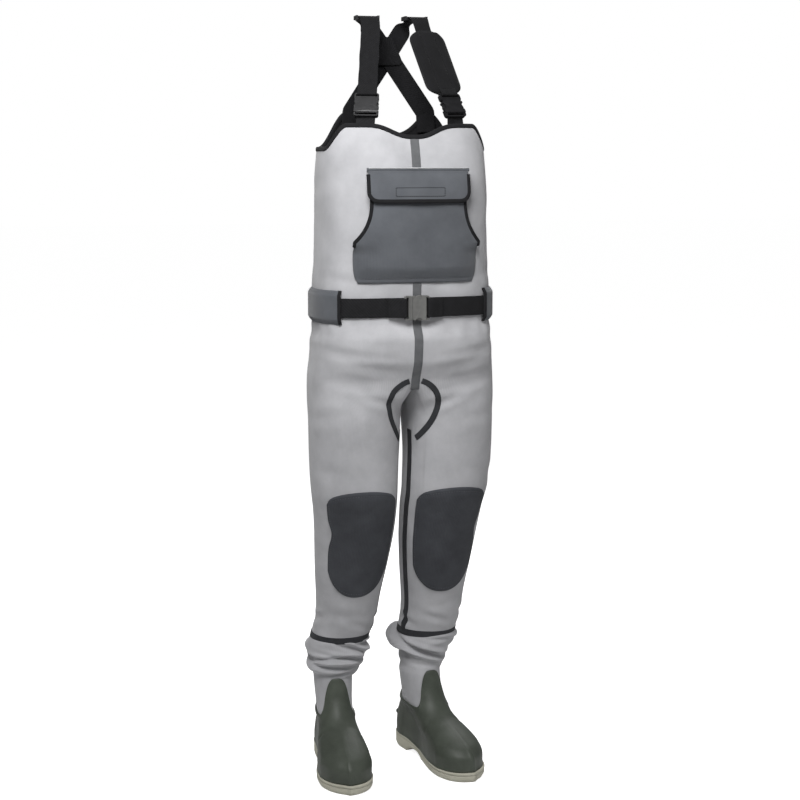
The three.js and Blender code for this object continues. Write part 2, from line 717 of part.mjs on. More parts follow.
// The belt lies over the seam tapes, and the buckle over the ends of the belt.
const BELT_LIFT = LAY_GAP + TAPE_THICK + 0.6;
const beltBuckleY = -station(TORSO, BELT_Z)[2] - BELT_LIFT - WEBBING_THICK - 0.4 - BUCKLE_THICK / 2;
const beltBuckle = new THREE.Group();
const beltMouthX = -13; // where socket and base meet
aim(beltBuckle, V(beltMouthX, beltBuckleY, BELT_Z), V(1, 0, 0), V(0, -1, 0));
addBuckle("belt", beltBuckle, "buckle");

// A stretch of belt between two angles round the waist, on the same columns as the torso panel.
const COLUMN = 180 / PANEL_COLUMNS;
function beltRun(from, to) {
  const columns = [];
  for (let a = Math.ceil(from / COLUMN) * COLUMN; a <= to; a += COLUMN)
    if (a > from + 0.5 && a < to - 0.5) columns.push(a);
  return ribbon(
    [from, ...columns, to].map((turn) => {
      const mirror = turn > 90 ? -1 : 1;
      const degrees = turn > 90 ? 180 - turn : turn;
      const frame = surfaceFrame(onTorso, degrees, BELT_Z, 1, 2);
      const at = frame.at.addScaledVector(frame.out.setZ(0).normalize(), BELT_LIFT);
      at.x *= mirror;
      const out = V(frame.out.x * mirror, frame.out.y, 0);
      return { at, across: V(0, 0, 1), out, width: WEBBING - 1, thick: WEBBING_THICK };
    }),
  );
}
const LOOP_FRONT = -40; // angles of the belt loop's front and back edges
const LOOP_BACK = 40;
const socketSide = chestAngle(beltMouthX + SOCKET_LENGTH - 14, BELT_Z);
const baseSide = chestAngle(4 - beltMouthX, BELT_Z);
const spliceAngle = LOOP_FRONT + COLUMN; // the belt's front and back lengths meet under the loops
addMesh("belt_webbing_left", beltRun(socketSide, spliceAngle - 0.3), "webbing");
addMesh("belt_webbing_right", mirrored(beltRun(baseSide, spliceAngle - 0.3)), "webbing");
addMesh("belt_webbing_back", beltRun(spliceAngle + 0.3, 180 - spliceAngle - 0.3), "webbing");

// Each side loop is a neoprene patch, sewn above and below the belt, which runs under it.
function loopWall(u, v, lift) {
  const degrees = lerp(LOOP_FRONT, LOOP_BACK, u);
  const z = BELT_Z + (v - 0.5) * BELT_LOOP_HEIGHT;
  const frame = surfaceFrame(onTorso, degrees, BELT_Z, 1, 2);
  const overBelt = smooth((BELT_LOOP_HEIGHT / 2 - Math.abs(z - BELT_Z)) / 11);
  const rise = 1.4 + overBelt * (BELT_LIFT + WEBBING_THICK - 0.2);
  const at = torsoPoint(degrees, z);
  return at.addScaledVector(frame.out.setZ(0).normalize(), rise + lift);
}
const beltLoop = wall(
  (LOOP_BACK - LOOP_FRONT) / COLUMN,
  8,
  (u, v) => loopWall(u, v, BELT_LOOP_THICK),
  (u, v) => loopWall(u, v, 0),
);
for (const foot of FEET) addMesh("belt_loop_" + foot.name, forSide(foot.side, beltLoop), "patch");

// ---------------------------------------------------------------- braces

// One brace, drawn for the left shoulder: from the front buckle over the shoulder, through the
// crossing at the back and down to the lobe on the other side.
const TAB_X = 96;
const BUCKLE_RISE = 14; // webbing that shows between the bib and the socket
const STRAIGHT = 165; // straight run of the brace above the socket's mouth
const CREST = V(51, 72, 1573); // middle of the adjuster, on top of the shoulder
const CREST_STRAIGHT = 44;
const CROSSING = V(0, 97, 1500);
const CROSSING_GAP = 3.5; // each brace passes the crossing this far from its middle
const BACK_TAB_X = 80;
const BACK_TAB_Y = 90;
const braceOutFront = V(0.32, -1, 0.45).normalize(); // the way the brace faces in front
const crestWay = V(-0.05, 1, -0.02).normalize();

const frontTop = V(TAB_X, chestY(TAB_X, ARMPIT_Z + BIB_RISE) - 1, ARMPIT_Z + BIB_RISE + BINDING_HEIGHT);
const crestFront = CREST.clone().addScaledVector(crestWay, -CREST_STRAIGHT / 2);
const crestBack = CREST.clone().addScaledVector(crestWay, CREST_STRAIGHT / 2);
const lean = crestFront.clone().add(V(3, -26, -14)).sub(frontTop).normalize();
const mouthAt = frontTop.clone().addScaledVector(lean, BUCKLE_RISE + SOCKET_LENGTH);
// The brace lies behind its buckle.
const buckleFacing = lean.clone().cross(braceOutFront).cross(lean).normalize();
const braceStart = mouthAt
  .clone()
  .addScaledVector(buckleFacing, 0.6 - BUCKLE_THICK / 2 - WEBBING_THICK)
  .addScaledVector(lean, 3);
const straightEnd = braceStart.clone().addScaledVector(lean, STRAIGHT - 3);

function bracePath(side) {
  const cross = CROSSING.clone().add(V(0, side * CROSSING_GAP, 0));
  const backTab = V(-BACK_TAB_X, BACK_TAB_Y, ARMPIT_Z + BACK_RISE + 6);
  const down = backTab.clone().sub(cross).normalize();
  const path = new THREE.CurvePath();
  const bend = (a, b, c, d) => path.add(new THREE.CubicBezierCurve3(a, b, c, d));
  path.add(new THREE.LineCurve3(braceStart, straightEnd));
  const rise = straightEnd.clone().addScaledVector(lean, 18);
  bend(straightEnd, rise, crestFront.clone().addScaledVector(crestWay, -9), crestFront);
  path.add(new THREE.LineCurve3(crestFront, crestBack));
  const over = crestBack.clone().addScaledVector(crestWay, 20);
  bend(crestBack, over, cross.clone().addScaledVector(down, -44), cross);
  path.add(new THREE.LineCurve3(cross, backTab));
  path.add(new THREE.LineCurve3(backTab, V(-BACK_TAB_X - 2, BACK_TAB_Y - 1, ARMPIT_Z + 36)));
  return path;
}

// The way the webbing faces: forward at the buckle, up over the shoulder, then back.
function braceFacing(at) {
  if (at.y < CREST.y) {
    const up = smooth((at.y - straightEnd.y) / (crestFront.y - straightEnd.y));
    return braceOutFront.clone().lerp(V(0, 0, 1), up).normalize();
  }
  const back = smooth((crestBack.z - 2 - at.z) / 26);
  const low = smooth((CROSSING.z - 30 - at.z) / 80);
  return V(0, 0, 1).lerp(V(0, 1, 0.12), back).lerp(V(-0.24, 1, 0), low).normalize();
}

// Lengths along the path at which the webbing has a station: few on straight runs, more on bends.
function braceLengths(path) {
  const ends = path.getCurveLengths();
  const counts = [8, 6, 3, 11, 5, 2];
  const lengths = [0];
  ends.forEach((end, k) => {
    const start = k ? ends[k - 1] : 0;
    for (let i = 1; i <= counts[k]; i++) lengths.push(lerp(start, end, i / counts[k]));
  });
  return lengths;
}

function braceStation(path, length) {
  const share = Math.min(1, length / path.getLength());
  const at = path.getPoint(share);
  const along = path.getTangent(share);
  const across = along.clone().cross(braceFacing(at)).normalize();
  const out = across.clone().cross(along).normalize();
  return { at, across, out, width: WEBBING - 1, thick: WEBBING_THICK };
}

// Puts a group drawn for the left side on either side.
function place(side, group) {
  const holder = new THREE.Group();
  holder.scale.x = side;
  holder.add(group);
  model.add(holder);
}

for (const foot of FEET) {
  const named = (name) => name + "_" + foot.name;
  const path = bracePath(foot.side);
  const brace = ribbon(braceLengths(path).map((length) => braceStation(path, length)));
  addMesh(named("brace"), forSide(foot.side, brace), "webbing");

  // The adjuster is a three-bar slide: its end bars pass under the webbing, its middle bar over.
  const crest = path.getCurveLengths()[1] + CREST_STRAIGHT / 2;
  const { at, out } = braceStation(path, crest);
  const adjuster = new THREE.Group();
  aim(adjuster, at.clone().addScaledVector(out, WEBBING_THICK / 2), crestWay, out);
  const rail = (WEBBING + BUCKLE_WIDTH) / 4 + 0.1;
  const railWidth = (BUCKLE_WIDTH - WEBBING) / 2 - 0.2;
  const slide = join(
    block(railWidth, 26, 8, rail, 0, 0),
    block(railWidth, 26, 8, -rail, 0, 0),
    block(BUCKLE_WIDTH - 1, 4.5, 2.4, 0, 10.5, -2.7),
    block(BUCKLE_WIDTH - 1, 4.5, 2.4, 0, -10.5, -2.7),
    block(BUCKLE_WIDTH - 1, 5, 2.4, 0, 0, 2.7),
  );
  addMesh(named("adjuster"), slide, "plastic", adjuster);
  place(foot.side, adjuster);

  // The front buckle hangs its socket on the bib, and its base on the brace.
  const buckle = new THREE.Group();
  aim(buckle, mouthAt, lean.clone().negate(), buckleFacing);
  addBuckle("brace_" + foot.name, buckle, "plastic");
  place(foot.side, buckle);

  // A webbing tab inside the bib holds the socket.
  const inBib = (z) => {
    const frame = surfaceFrame(onTorso, chestAngle(TAB_X, z), z, 1, 2);
    const at = frame.at.addScaledVector(frame.out, -NEOPRENE - 3.6 - WEBBING_THICK);
    return { at, across: frame.alongU, out: frame.out };
  };
  const socketFoot = mouthAt.clone().addScaledVector(lean, -SOCKET_LENGTH - 0.5);
  const top = { at: socketFoot.addScaledVector(buckleFacing, -1), out: buckleFacing };
  top.across = lean.clone().cross(buckleFacing).normalize();
  const tab = ribbon(
    [inBib(ARMPIT_Z), inBib(ARMPIT_Z + BIB_RISE - 4), inBib(ARMPIT_Z + BIB_RISE + 8), top].map((s) => ({
      ...s,
      width: WEBBING - 2,
      thick: WEBBING_THICK,
    })),
  );
  addMesh(named("bib_tab"), forSide(foot.side, tab), "webbing");
}

// The shoulder pad lies on the straight run of the left brace, above the buckle.
const padStart = BASE_LENGTH + 2;
const padPath = bracePath(1);
const pad = ribbon(
  steps(10, (s) => {
    const { at, across, out } = braceStation(padPath, padStart + PAD_LENGTH * s);
    at.addScaledVector(out, WEBBING_THICK + 0.4);
    const taper = smooth(Math.min((s + 0.05) / 0.2, (1.04 - s) / 0.16));
    return { at, across, out, width: lerp(WEBBING, PAD_WIDTH, taper), thick: PAD_THICK };
  }),
);
addMesh("shoulder_pad_left", pad, "webbing");

// The yoke patch on the crossing: a narrow top, and two small ears at its foot.
const PATCH_WIDTH = 62;
const yoke = new THREE.Shape();
yoke.moveTo(-9, 44);
yoke.lineTo(-PATCH_WIDTH / 2 + 4, 2);
yoke.lineTo(-PATCH_WIDTH / 2, -8);
yoke.lineTo(-24, -14);
yoke.lineTo(24, -14);
yoke.lineTo(PATCH_WIDTH / 2, -8);
yoke.lineTo(PATCH_WIDTH / 2 - 4, 2);
yoke.lineTo(9, 44);
yoke.lineTo(-9, 44);
const yokePatch = new THREE.ExtrudeGeometry(yoke, { depth: 2, bevelEnabled: false });
yokePatch.rotateX(Math.PI / 2).translate(0, CROSSING.y - CROSSING_GAP - 2.2, CROSSING.z - 6);
addMesh("yoke_patch", yokePatch, "webbing");

// ---------------------------------------------------------------- boots

// The boot is drawn with its heel at the origin and its toe towards -y, for the left foot.
// Half widths of the sole at distances from the heel: [distance, inner half, outer half].
const SOLE = [
  [0, 0, 0],
  [4, 17, 17],
  [16, 30, 30],
  [45, 37, 37],
  [90, 36, 38],
  [130, 35, 41],
  [170, 43, 48],
  [210, 51, 54],
  [240, 53, 53],
  [270, 47, 43],
  [292, 33, 25],
  [303, 17, 9],
  [308, 4, 4],
];
// The upper at heights: [z, front, back, half width, how far the section has become an oval].
const UPPER = [
  [FOREFOOT_SOLE, 303, 3, 50, 0],
  [44, 302, 2, 51, 0],
  [62, 289, 1, 49, 0.05],
  [76, 256, 1, 46, 0.2],
  [88, 218, 3, 42, 0.4],
  [100, 182, 6, 40.5, 0.65],
  [114, 159, 9, 42.5, 0.85],
  [132, 143, 11, 42.5, 1],
  [155, 130.5, 9, 44, 1],
  [200, 121, 4, 46, 1],
];
const soleScale = BOOT_LENGTH / 308;

function solePoint(t, inset) {
  const outerSide = t <= 0.5;
  const share = outerSide ? t * 2 : 2 - t * 2;
  // Points crowd towards the heel and the toe, where the outline turns.
  const along = 154 - 154 * Math.cos(Math.PI * share);
  const [, inner, outer] = station(SOLE, along);
  const half = outerSide ? outer : -inner;
  const mid = 154;
  const shrink = (value, room) => value * (1 - inset / room);
  return new THREE.Vector2(shrink(half, 50), (-mid - shrink(along - mid, mid)) * soleScale);
}

function upperPoint(t, z, inset) {
  const [, front, back, half, oval] = station(UPPER, z);
  const foot = solePoint(t, 0);
  const mid = (front + back) / 2;
  const reach = (front - back) / 2;
  const stretch = (reach - inset) / 154;
  const x1 = foot.x * (half / 50) * (1 - inset / half);
  const y1 = -mid + (foot.y / soleScale + 154) * stretch;
  const a = 2 * Math.PI * t;
  const x2 = (half - inset) * Math.sin(a);
  const y2 = -mid + (reach - inset) * Math.cos(a);
  return V(lerp(x1, x2, oval), lerp(y1, y2, oval) * soleScale, z);
}

// The shaft's upper edge: a high tongue in front, deep cut-outs at both sides, lower at the back.
function shaftZ(t) {
  const front = Math.exp(-((Math.abs(t - 0.5) / 0.11) ** 3.5));
  const back = Math.exp(-((Math.min(t, 1 - t) / 0.09) ** 2));
  return 112 + 78 * front + 22 * back;
}

const BOOT_AROUND = 26;
const BOOT_ROWS = [0, 0.16, 0.32, 0.46, 0.58, 0.7, 0.84, 1];

// The sole is thicker under the heel: height of its upper face at a distance from the heel.
const soleTop = (along) => FOREFOOT_SOLE + (HEEL_SOLE - FOREFOOT_SOLE) * smooth((150 - along) / 80);

function bootWall(t, v, inset) {
  const share = BOOT_ROWS[Math.round(v * (BOOT_ROWS.length - 1))];
  const foot = upperPoint(t, FOREFOOT_SOLE, inset);
  const low = soleTop(-foot.y / soleScale) + SEAM_GAP;
  return upperPoint(t, lerp(low, shaftZ(t), share), inset);
}
const bootUpper = wall(
  BOOT_AROUND,
  BOOT_ROWS.length - 1,
  (t, v) => bootWall(t, v, 0),
  (t, v) => bootWall(t, v, BOOT_WALL),
  true,
);
// The kick-off lug: a ledge across the back of the heel for the other foot to press on.
const lugY = 3.5 - soleScale;
const kickLug = block(34, 9, 5, 0, lugY, 72);
const uppers = join(bootUpper, cut(kickLug, block(60, 20, 20, 0, lugY - 13.7, 72)));

// A slab between loops of points. Its two faces are closed by strips straight across the foot.
function slab(loops) {
  const count = BOOT_AROUND;
  const points = [];
  for (const loop of loops)
    for (let i = 0; i < count; i++) points.push(...loop(i / count).toArray());
  const index = [];
  for (let j = 0; j < loops.length - 1; j++)
    for (let i = 0; i < count; i++) {
      const [a, b] = [j * count + i, j * count + ((i + 1) % count)];
      index.push(a, b, b + count, a, b + count, a + count);
    }
  const close = (row, flip) => {
    const triangle = (p, q, r) => {
      if (p !== q && q !== r && p !== r) index.push(...(flip ? [p, r, q] : [p, q, r]));
    };
    for (let i = 0; i < count / 2; i++) {
      const [a, b] = [row * count + i, row * count + i + 1];
      const [c, d] = [count - i - 1, (count - i) % count].map((k) => row * count + k);
      triangle(a, b, c);
      triangle(a, c, d);
    }
  };
  close(0, true);
  close(loops.length - 1, false);
  const made = new THREE.BufferGeometry();
  made.setAttribute("position", new THREE.Float32BufferAttribute(points, 3));
  made.setIndex(index);
  return faceOut(made);
}

// The outsole's underside has a heel block, a raised arch and a forefoot pad.
function outsole() {
  const rim = 3; // how far the sole's edge stands out past the upper
  const loop = (grow, height) => (t) => {
    const p = solePoint(t, -grow);
    return V(p.x, p.y, height(-p.y / soleScale));
  };
  const body = slab([loop(0, () => 0), loop(rim, () => 4), loop(rim, soleTop)]);
  const arch = new THREE.CylinderGeometry(14, 14, 140, 16).rotateZ(Math.PI / 2);
  arch.scale(1, 2.3, 0.85).translate(0, -105 * soleScale, 0);
  return cut(body, arch);
}
const soleGeometry = outsole();

function insole() {
  const loop = (lift) => (t) => {
    const p = upperPoint(t, FOREFOOT_SOLE, BOOT_WALL + 3);
    p.z = soleTop(-p.y / soleScale) + 0.6 + lift;
    return p;
  };
  return slab([loop(0), loop(INSOLE_THICK)]);
}
const insoleGeometry = insole();

for (const foot of FEET) {
  const stand = new THREE.Group();
  stand.position.set(foot.side * foot.heelX, foot.heelY, 0);
  stand.rotation.z = foot.side * rad(foot.splay);
  stand.scale.x = foot.side;
  const add = (name, geometry, colour) => addMesh(name + "_" + foot.name, geometry, colour, stand);
  add("boot_upper", uppers, "rubber");
  add("outsole", soleGeometry, "sole");
  add("insole", insoleGeometry, "insole");
  model.add(stand);
}

// ---------------------------------------------------------------- the part's frame

model.updateMatrixWorld(true);
const middle = new THREE.Box3().setFromObject(model, true).getCenter(V(0, 0, 0));
model.position.set(-middle.x, -middle.y, 0);

export default model;
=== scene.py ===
import math

import bmesh
import bpy
import numpy as np
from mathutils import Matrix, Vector


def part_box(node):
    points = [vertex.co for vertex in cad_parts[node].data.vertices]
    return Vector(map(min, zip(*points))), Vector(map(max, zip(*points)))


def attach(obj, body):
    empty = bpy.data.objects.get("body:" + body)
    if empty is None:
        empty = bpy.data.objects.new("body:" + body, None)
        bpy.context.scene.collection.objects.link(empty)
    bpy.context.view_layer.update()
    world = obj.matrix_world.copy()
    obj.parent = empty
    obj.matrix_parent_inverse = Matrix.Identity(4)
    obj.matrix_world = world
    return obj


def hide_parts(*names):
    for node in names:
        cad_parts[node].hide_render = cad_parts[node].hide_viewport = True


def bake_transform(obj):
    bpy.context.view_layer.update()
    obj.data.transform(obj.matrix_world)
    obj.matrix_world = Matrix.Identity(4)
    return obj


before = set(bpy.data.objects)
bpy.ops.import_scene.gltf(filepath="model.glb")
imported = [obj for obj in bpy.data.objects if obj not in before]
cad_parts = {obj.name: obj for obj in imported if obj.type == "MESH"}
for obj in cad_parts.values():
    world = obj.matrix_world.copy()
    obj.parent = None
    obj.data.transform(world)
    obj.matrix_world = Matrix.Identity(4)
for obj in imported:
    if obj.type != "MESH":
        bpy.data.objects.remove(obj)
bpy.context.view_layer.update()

# Boot-foot chest waders in neoprene. Sizes are in millimetres from the upright axis of the torso,
# with +Z up and the front of the garment towards -Y. in_frame() turns them into metres in the
# frame of the model.

# ---------------------------------------------------------------- torso panels
# Two panels of 4.5 mm neoprene foam between a light grey knit face and a black lining, glued and
# blind-stitched down the centre of the front and of the back.

TORSO = np.array([  # height, half width, front depth, back depth
    (840, 193, 112, 126),
    (890, 188, 132, 126),
    (930, 185, 136, 121),
    (965, 181, 121, 111),
    (1025, 181, 121, 111),
    (1080, 178, 125, 114),
    (1150, 175, 129, 117),
    (1220, 174, 126, 118),
    (1290, 171, 113, 115),
    (1350, 163, 95, 110),
    (1400, 156, 86, 105),
], float)
TORSO_POWER = 2.7
NEOPRENE = 4.5
CROTCH_Z = 852
BELT_Z = 995
ARMPIT_Z = 1306
BIB_RISE = 46
NECK_DIP = 23
BACK_RISE = 72
SEAM_HALF = 0.02  # half the gap between the left and the right panel at a seam
METRE = 0.001
AXIS_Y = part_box("torso_panel_left")[0].y / METRE + TORSO[:, 2].max()
SIDES = (("left", 1), ("right", -1))


def in_frame(points):
    """Points in millimetres, as metres in the frame of the model."""
    moved = np.array(points, float)
    moved[..., 1] += AXIS_Y
    return moved * METRE


def smooth(x):
    x = np.clip(x, 0, 1)
    return x * x * (3 - 2 * x)


def mix(a, b, share):
    return a + (b - a) * share


def read(table, at):
    """The columns of a station table at a height, on a smooth curve that never overshoots."""
    at = np.clip(np.asarray(at, float), table[0, 0], table[-1, 0])
    x = table[:, 0]
    step = np.diff(x)[:, None]
    slope = np.diff(table[:, 1:], axis=0) / step
    ends = np.zeros((1, slope.shape[1]))
    product = slope[1:] * slope[:-1]
    total = slope[1:] + slope[:-1]
    inner = np.where(product > 0, 2 * product / np.where(product > 0, total, 1), 0)
    tangent = np.concatenate([ends, inner, ends])
    i = np.clip(np.searchsorted(x, at, side="right") - 1, 0, len(x) - 2)
    h = step[i, 0][..., None]
    t = ((at - x[i]) / step[i, 0])[..., None]
    low, high = table[i, 1:], table[i + 1, 1:]
    value = (
        (2 * t**3 - 3 * t**2 + 1) * low
        + (t**3 - 2 * t**2 + t) * h * tangent[i]
        + (3 * t**2 - 2 * t**3) * high
        + (t**3 - t**2) * h * tangent[i + 1]
    )
    return np.moveaxis(value, -1, 0)


def power(value, n):
    return np.sign(value) * np.abs(value) ** (2 / n)


def torso_point(degrees, z, inset=0.0):
    """The torso's form. -90 is the centre front, 0 the wearer's left and 90 the centre back."""
    degrees, z = np.broadcast_arrays(np.asarray(degrees, float), np.asarray(z, float))
    half, front, back = read(TORSO, z)
    a = np.radians(degrees)
    depth = np.where(np.sin(a) < 0, front, back) - inset
    x = (half - inset) * power(np.cos(a), TORSO_POWER)
    return np.stack([x, depth * power(np.sin(a), TORSO_POWER), z], -1)


def chest_y(x, z):
    half, front, _ = read(TORSO, z)
    share = np.clip(np.abs(x) / half, 0, 1) ** TORSO_POWER
    return -front * (1 - share) ** (1 / TORSO_POWER)


def chest_angle(x, z):
    half = read(TORSO, z)[0]
    return -np.degrees(np.arccos((np.abs(x) / half) ** (TORSO_POWER / 2)))


def neck_z(degrees):
    """The upper edge of the bib: a dip between the buckles, low armpits and two lobes behind."""
    def bump(centre, spread):
        return np.exp(-(((degrees - centre) / spread) ** 2))

    front = BIB_RISE * smooth((-degrees - 12) / 30) - NECK_DIP * bump(-90, 13)
    back = BACK_RISE * bump(62, 17) + 20 * bump(90, 15)
    return ARMPIT_Z + np.where(degrees < 0, front, back)


def creases(around, z, folds, girth=None):
    """Height of listed folds: each is place around, height, slant, length, width, depth."""
    total = np.zeros(np.broadcast(around, z).shape)
    for place, height, slant, length, width, depth in folds:
        c, s = math.cos(math.radians(slant)), math.sin(math.radians(slant))
        away = around - place
        if girth:
            away = (away + girth / 2) % girth - girth / 2
        along = away * c + (z - height) * s
        aside = ((z - height) * c - away * s) / width
        groove = -np.exp(-(aside**2)) + 0.5 * np.exp(-(((np.abs(aside) - 1.9) / 0.9) ** 2))
        total += depth * groove * np.exp(-((along / length) ** 2))
    return total


def unit(vectors):
    return vectors / np.maximum(np.linalg.norm(vectors, axis=-1, keepdims=True), 1e-9)


def skin(surface, u, v, du, dv, lift):
    """Points on surface(u, v), lifted along its normal, and the normals."""
    across = surface(u + du, v) - surface(u - du, v)
    up = surface(u, v + dv) - surface(u, v - dv)
    out = unit(np.cross(across, up))
    return surface(u, v) + out * np.asarray(lift)[..., None], out


TORSO_FOLDS = {  # degrees round, height, slant, length, width, depth
    "left": [(-48, 905, 24, 26, 9, 2.6), (-62, 880, 30, 22, 8, 2.8), (-20, 930, -8, 26, 10, 1.6),
             (-70, 1045, 8, 18, 9, 0.9), (-30, 1060, -14, 24, 11, 1.2), (-8, 1180, 60, 40, 14, 1.4),
             (30, 930, 10, 30, 10, 2.0), (60, 900, -24, 26, 9, 2.4), (50, 1070, 8, 30, 11, 1.4)],
    "right": [(-50, 900, 22, 28, 9, 2.4), (-66, 875, 28, 22, 8, 2.6), (-18, 940, 6, 26, 10, 1.6),
              (-36, 1050, 12, 22, 10, 1.2), (-12, 1150, 70, 44, 14, 1.5), (-6, 1240, -50, 30, 12, 1.0),
              (26, 935, -10, 30, 10, 2.0), (58, 905, 22, 26, 9, 2.2), (46, 1075, -8, 30, 11, 1.4)],
}


def torso_relief(side, degrees, z):
    """How far the cloth stands off its form: puckers at the belt, soft folds and a slow wave."""
    turn = np.radians(degrees)
    pucker = np.cos(turn * 23 + side) * np.exp(-(((z - 952) / 20) ** 2))
    pucker = pucker + 0.7 * np.cos(turn * 19 - side) * np.exp(-(((z - 1038) / 18) ** 2))
    wave = 0.9 * np.sin(turn * 5.0 + z / 61 + side) * np.sin(z / 83 - turn * 2)
    name = "left" if side > 0 else "right"
    folds = creases(degrees, z, [(p, h, s, n, w, 0.9 * d) for p, h, s, n, w, d in TORSO_FOLDS[name]])
    seam = smooth((90 - np.abs(degrees)) / 9)
    calm = smooth((neck_z(degrees) - z) / 40)
    return (0.8 * pucker + wave * calm + folds) * seam


def torso_skin(side, degrees, z):
    degrees, z = np.broadcast_arrays(np.asarray(degrees, float), np.asarray(z, float))
    return skin(torso_point, degrees, z, 0.8, 2.0, torso_relief(side, degrees, z))


def even_turns(count, z=1100):
    """Angles from the front seam to the back seam that lie evenly along the cloth."""
    fine = np.linspace(-90, 90, 3001)
    path = torso_point(fine, z)
    run = np.concatenate([[0], np.cumsum(np.linalg.norm(np.diff(path, axis=0), axis=1))])
    return np.interp(np.linspace(0, run[-1], count + 1), run, fine)


def wall(outer, inner, wrap=False):
    """Points and faces of a closed wall between two grids. Kind 0 is outside, 1 inside, 2 rim."""
    rows, columns = outer.shape[:2]
    points = np.concatenate([outer.reshape(-1, 3), inner.reshape(-1, 3)])
    layer = rows * columns
    turn = np.arange(columns if wrap else columns - 1)
    after = (turn + 1) % columns
    row = np.arange(rows - 1)[:, None] * columns
    low, high = row + turn, row + after
    face = np.stack([low, high, high + columns, low + columns], -1).reshape(-1, 4)
    top = layer - columns
    rims = [np.stack([after, turn, turn + layer, after + layer], -1),
            np.stack([turn + top, after + top, after + top + layer, turn + top + layer], -1)]
    if not wrap:
        r = row[:, 0]
        last = r + columns - 1
        rims.append(np.stack([r + columns, r, r + layer, r + columns + layer], -1))
        rims.append(np.stack([last, last + columns, last + columns + layer, last + layer], -1))
    rim = np.concatenate(rims)
    faces = np.concatenate([face, face[:, ::-1] + layer, rim])
    kinds = np.repeat([0, 1, 2], [len(face), len(face), len(rim)])
    return points, faces.tolist(), kinds


def lay_of(grid):
    """Place of each point in the cloth: distance across and distance along, in metres."""
    middle = grid[grid.shape[0] // 2]
    across = np.concatenate([[0], np.cumsum(np.linalg.norm(np.diff(middle, axis=0), axis=1))])
    up = np.concatenate([[0], np.cumsum(np.linalg.norm(np.diff(grid.mean(1), axis=0), axis=1))])
    lay = np.stack(np.broadcast_arrays(across[None, :], up[:, None]), -1)
    return lay.reshape(-1, 2) * METRE


def piece(name, points, faces, looks, body, replaces=(), lay=None, kinds=None):
    """One mesh that rides on a body. looks are its materials, for the outside and the inside."""
    mesh = bpy.data.meshes.new(name)
    mesh.from_pydata(in_frame(points).tolist(), [], faces)
    for look in looks:
        mesh.materials.append(look)
    if lay is not None:
        while len(lay) < len(points):
            lay = np.concatenate([lay, lay])[: len(points)]
        vectors = np.concatenate([lay, np.zeros((len(points), 1))], 1)
        attribute = mesh.attributes.new("lay", "FLOAT_VECTOR", "POINT")
        attribute.data.foreach_set("vector", vectors.astype(np.float32).ravel())
    kinds = np.zeros(len(faces), int) if kinds is None else np.asarray(kinds)
    mesh.polygons.foreach_set("use_smooth", kinds < 2)
    mesh.polygons.foreach_set("material_index", np.where(kinds == 1, len(looks) - 1, 0))
    bm = bmesh.new()
    bm.from_mesh(mesh)
    bmesh.ops.recalc_face_normals(bm, faces=bm.faces)
    bm.to_mesh(mesh)
    bm.free()
    made = bpy.data.objects.new(name, mesh)
    bpy.context.scene.collection.objects.link(made)
    if body:
        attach(made, body)
    if replaces:
        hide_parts(*replaces)
    return made


def mirrored(points, side):
    """Points drawn for the wearer's left side, on the side that is asked for."""
    return points * np.array([side, 1, 1])


def walled(name, outer, inner, looks, body, replaces, wrap=False, round_rim=False):
    """One piece from its outer and its inner face. A cut rim stays sharp unless it is round."""
    points, faces, kinds = wall(outer, inner, wrap)
    return piece(name, points, faces, looks, body, replaces, lay_of(outer),
                 kinds * 0 if round_rim else kinds)


def colour(code):
    """An sRGB hex value as the linear colour that a shader takes."""
    parts = [int(code[i : i + 2], 16) / 255 for i in (1, 3, 5)]
    return tuple(c / 12.92 if c <= 0.04045 else ((c + 0.055) / 1.055) ** 2.4 for c in parts) + (1,)


def node(material, kind, inputs=None, **settings):
    """Adds a node with its settings. An input is a value, or (node, output) to link from."""
    made = material.node_tree.nodes.new(kind)
    for key, value in settings.items():
        setattr(made, key, value)
    for key, value in (inputs or {}).items():
        if isinstance(value, tuple) and isinstance(value[0], bpy.types.Node):
            material.node_tree.links.new(value[0].outputs[value[1]], made.inputs[key])
        else:
            made.inputs[key].default_value = value
    return made


def new_material(name):
    made = bpy.data.materials.new(name)
    made.use_nodes = True
    made.node_tree.nodes.clear()
    return made


def close_material(made, tone, low, high, height, depth, **surface):
    """Ends a material: colour from low to high with tone, and relief of depth mm from height."""
    ramp = node(made, "ShaderNodeValToRGB", {"Fac": tone})
    ramp.color_ramp.elements[0].color = colour(low)
    ramp.color_ramp.elements[1].color = colour(high)
    bump = node(made, "ShaderNodeBump", {"Height": height, "Distance": depth * METRE})
    shader = node(made, "ShaderNodeBsdfPrincipled",
                  {"Base Color": (ramp, "Color"), "Normal": (bump, "Normal"), **surface})
    node(made, "ShaderNodeOutputMaterial", {"Surface": (shader, "BSDF")})
    return made


WAVE_PERIOD = math.pi / 10  # a wave texture of scale 1 repeats at this distance


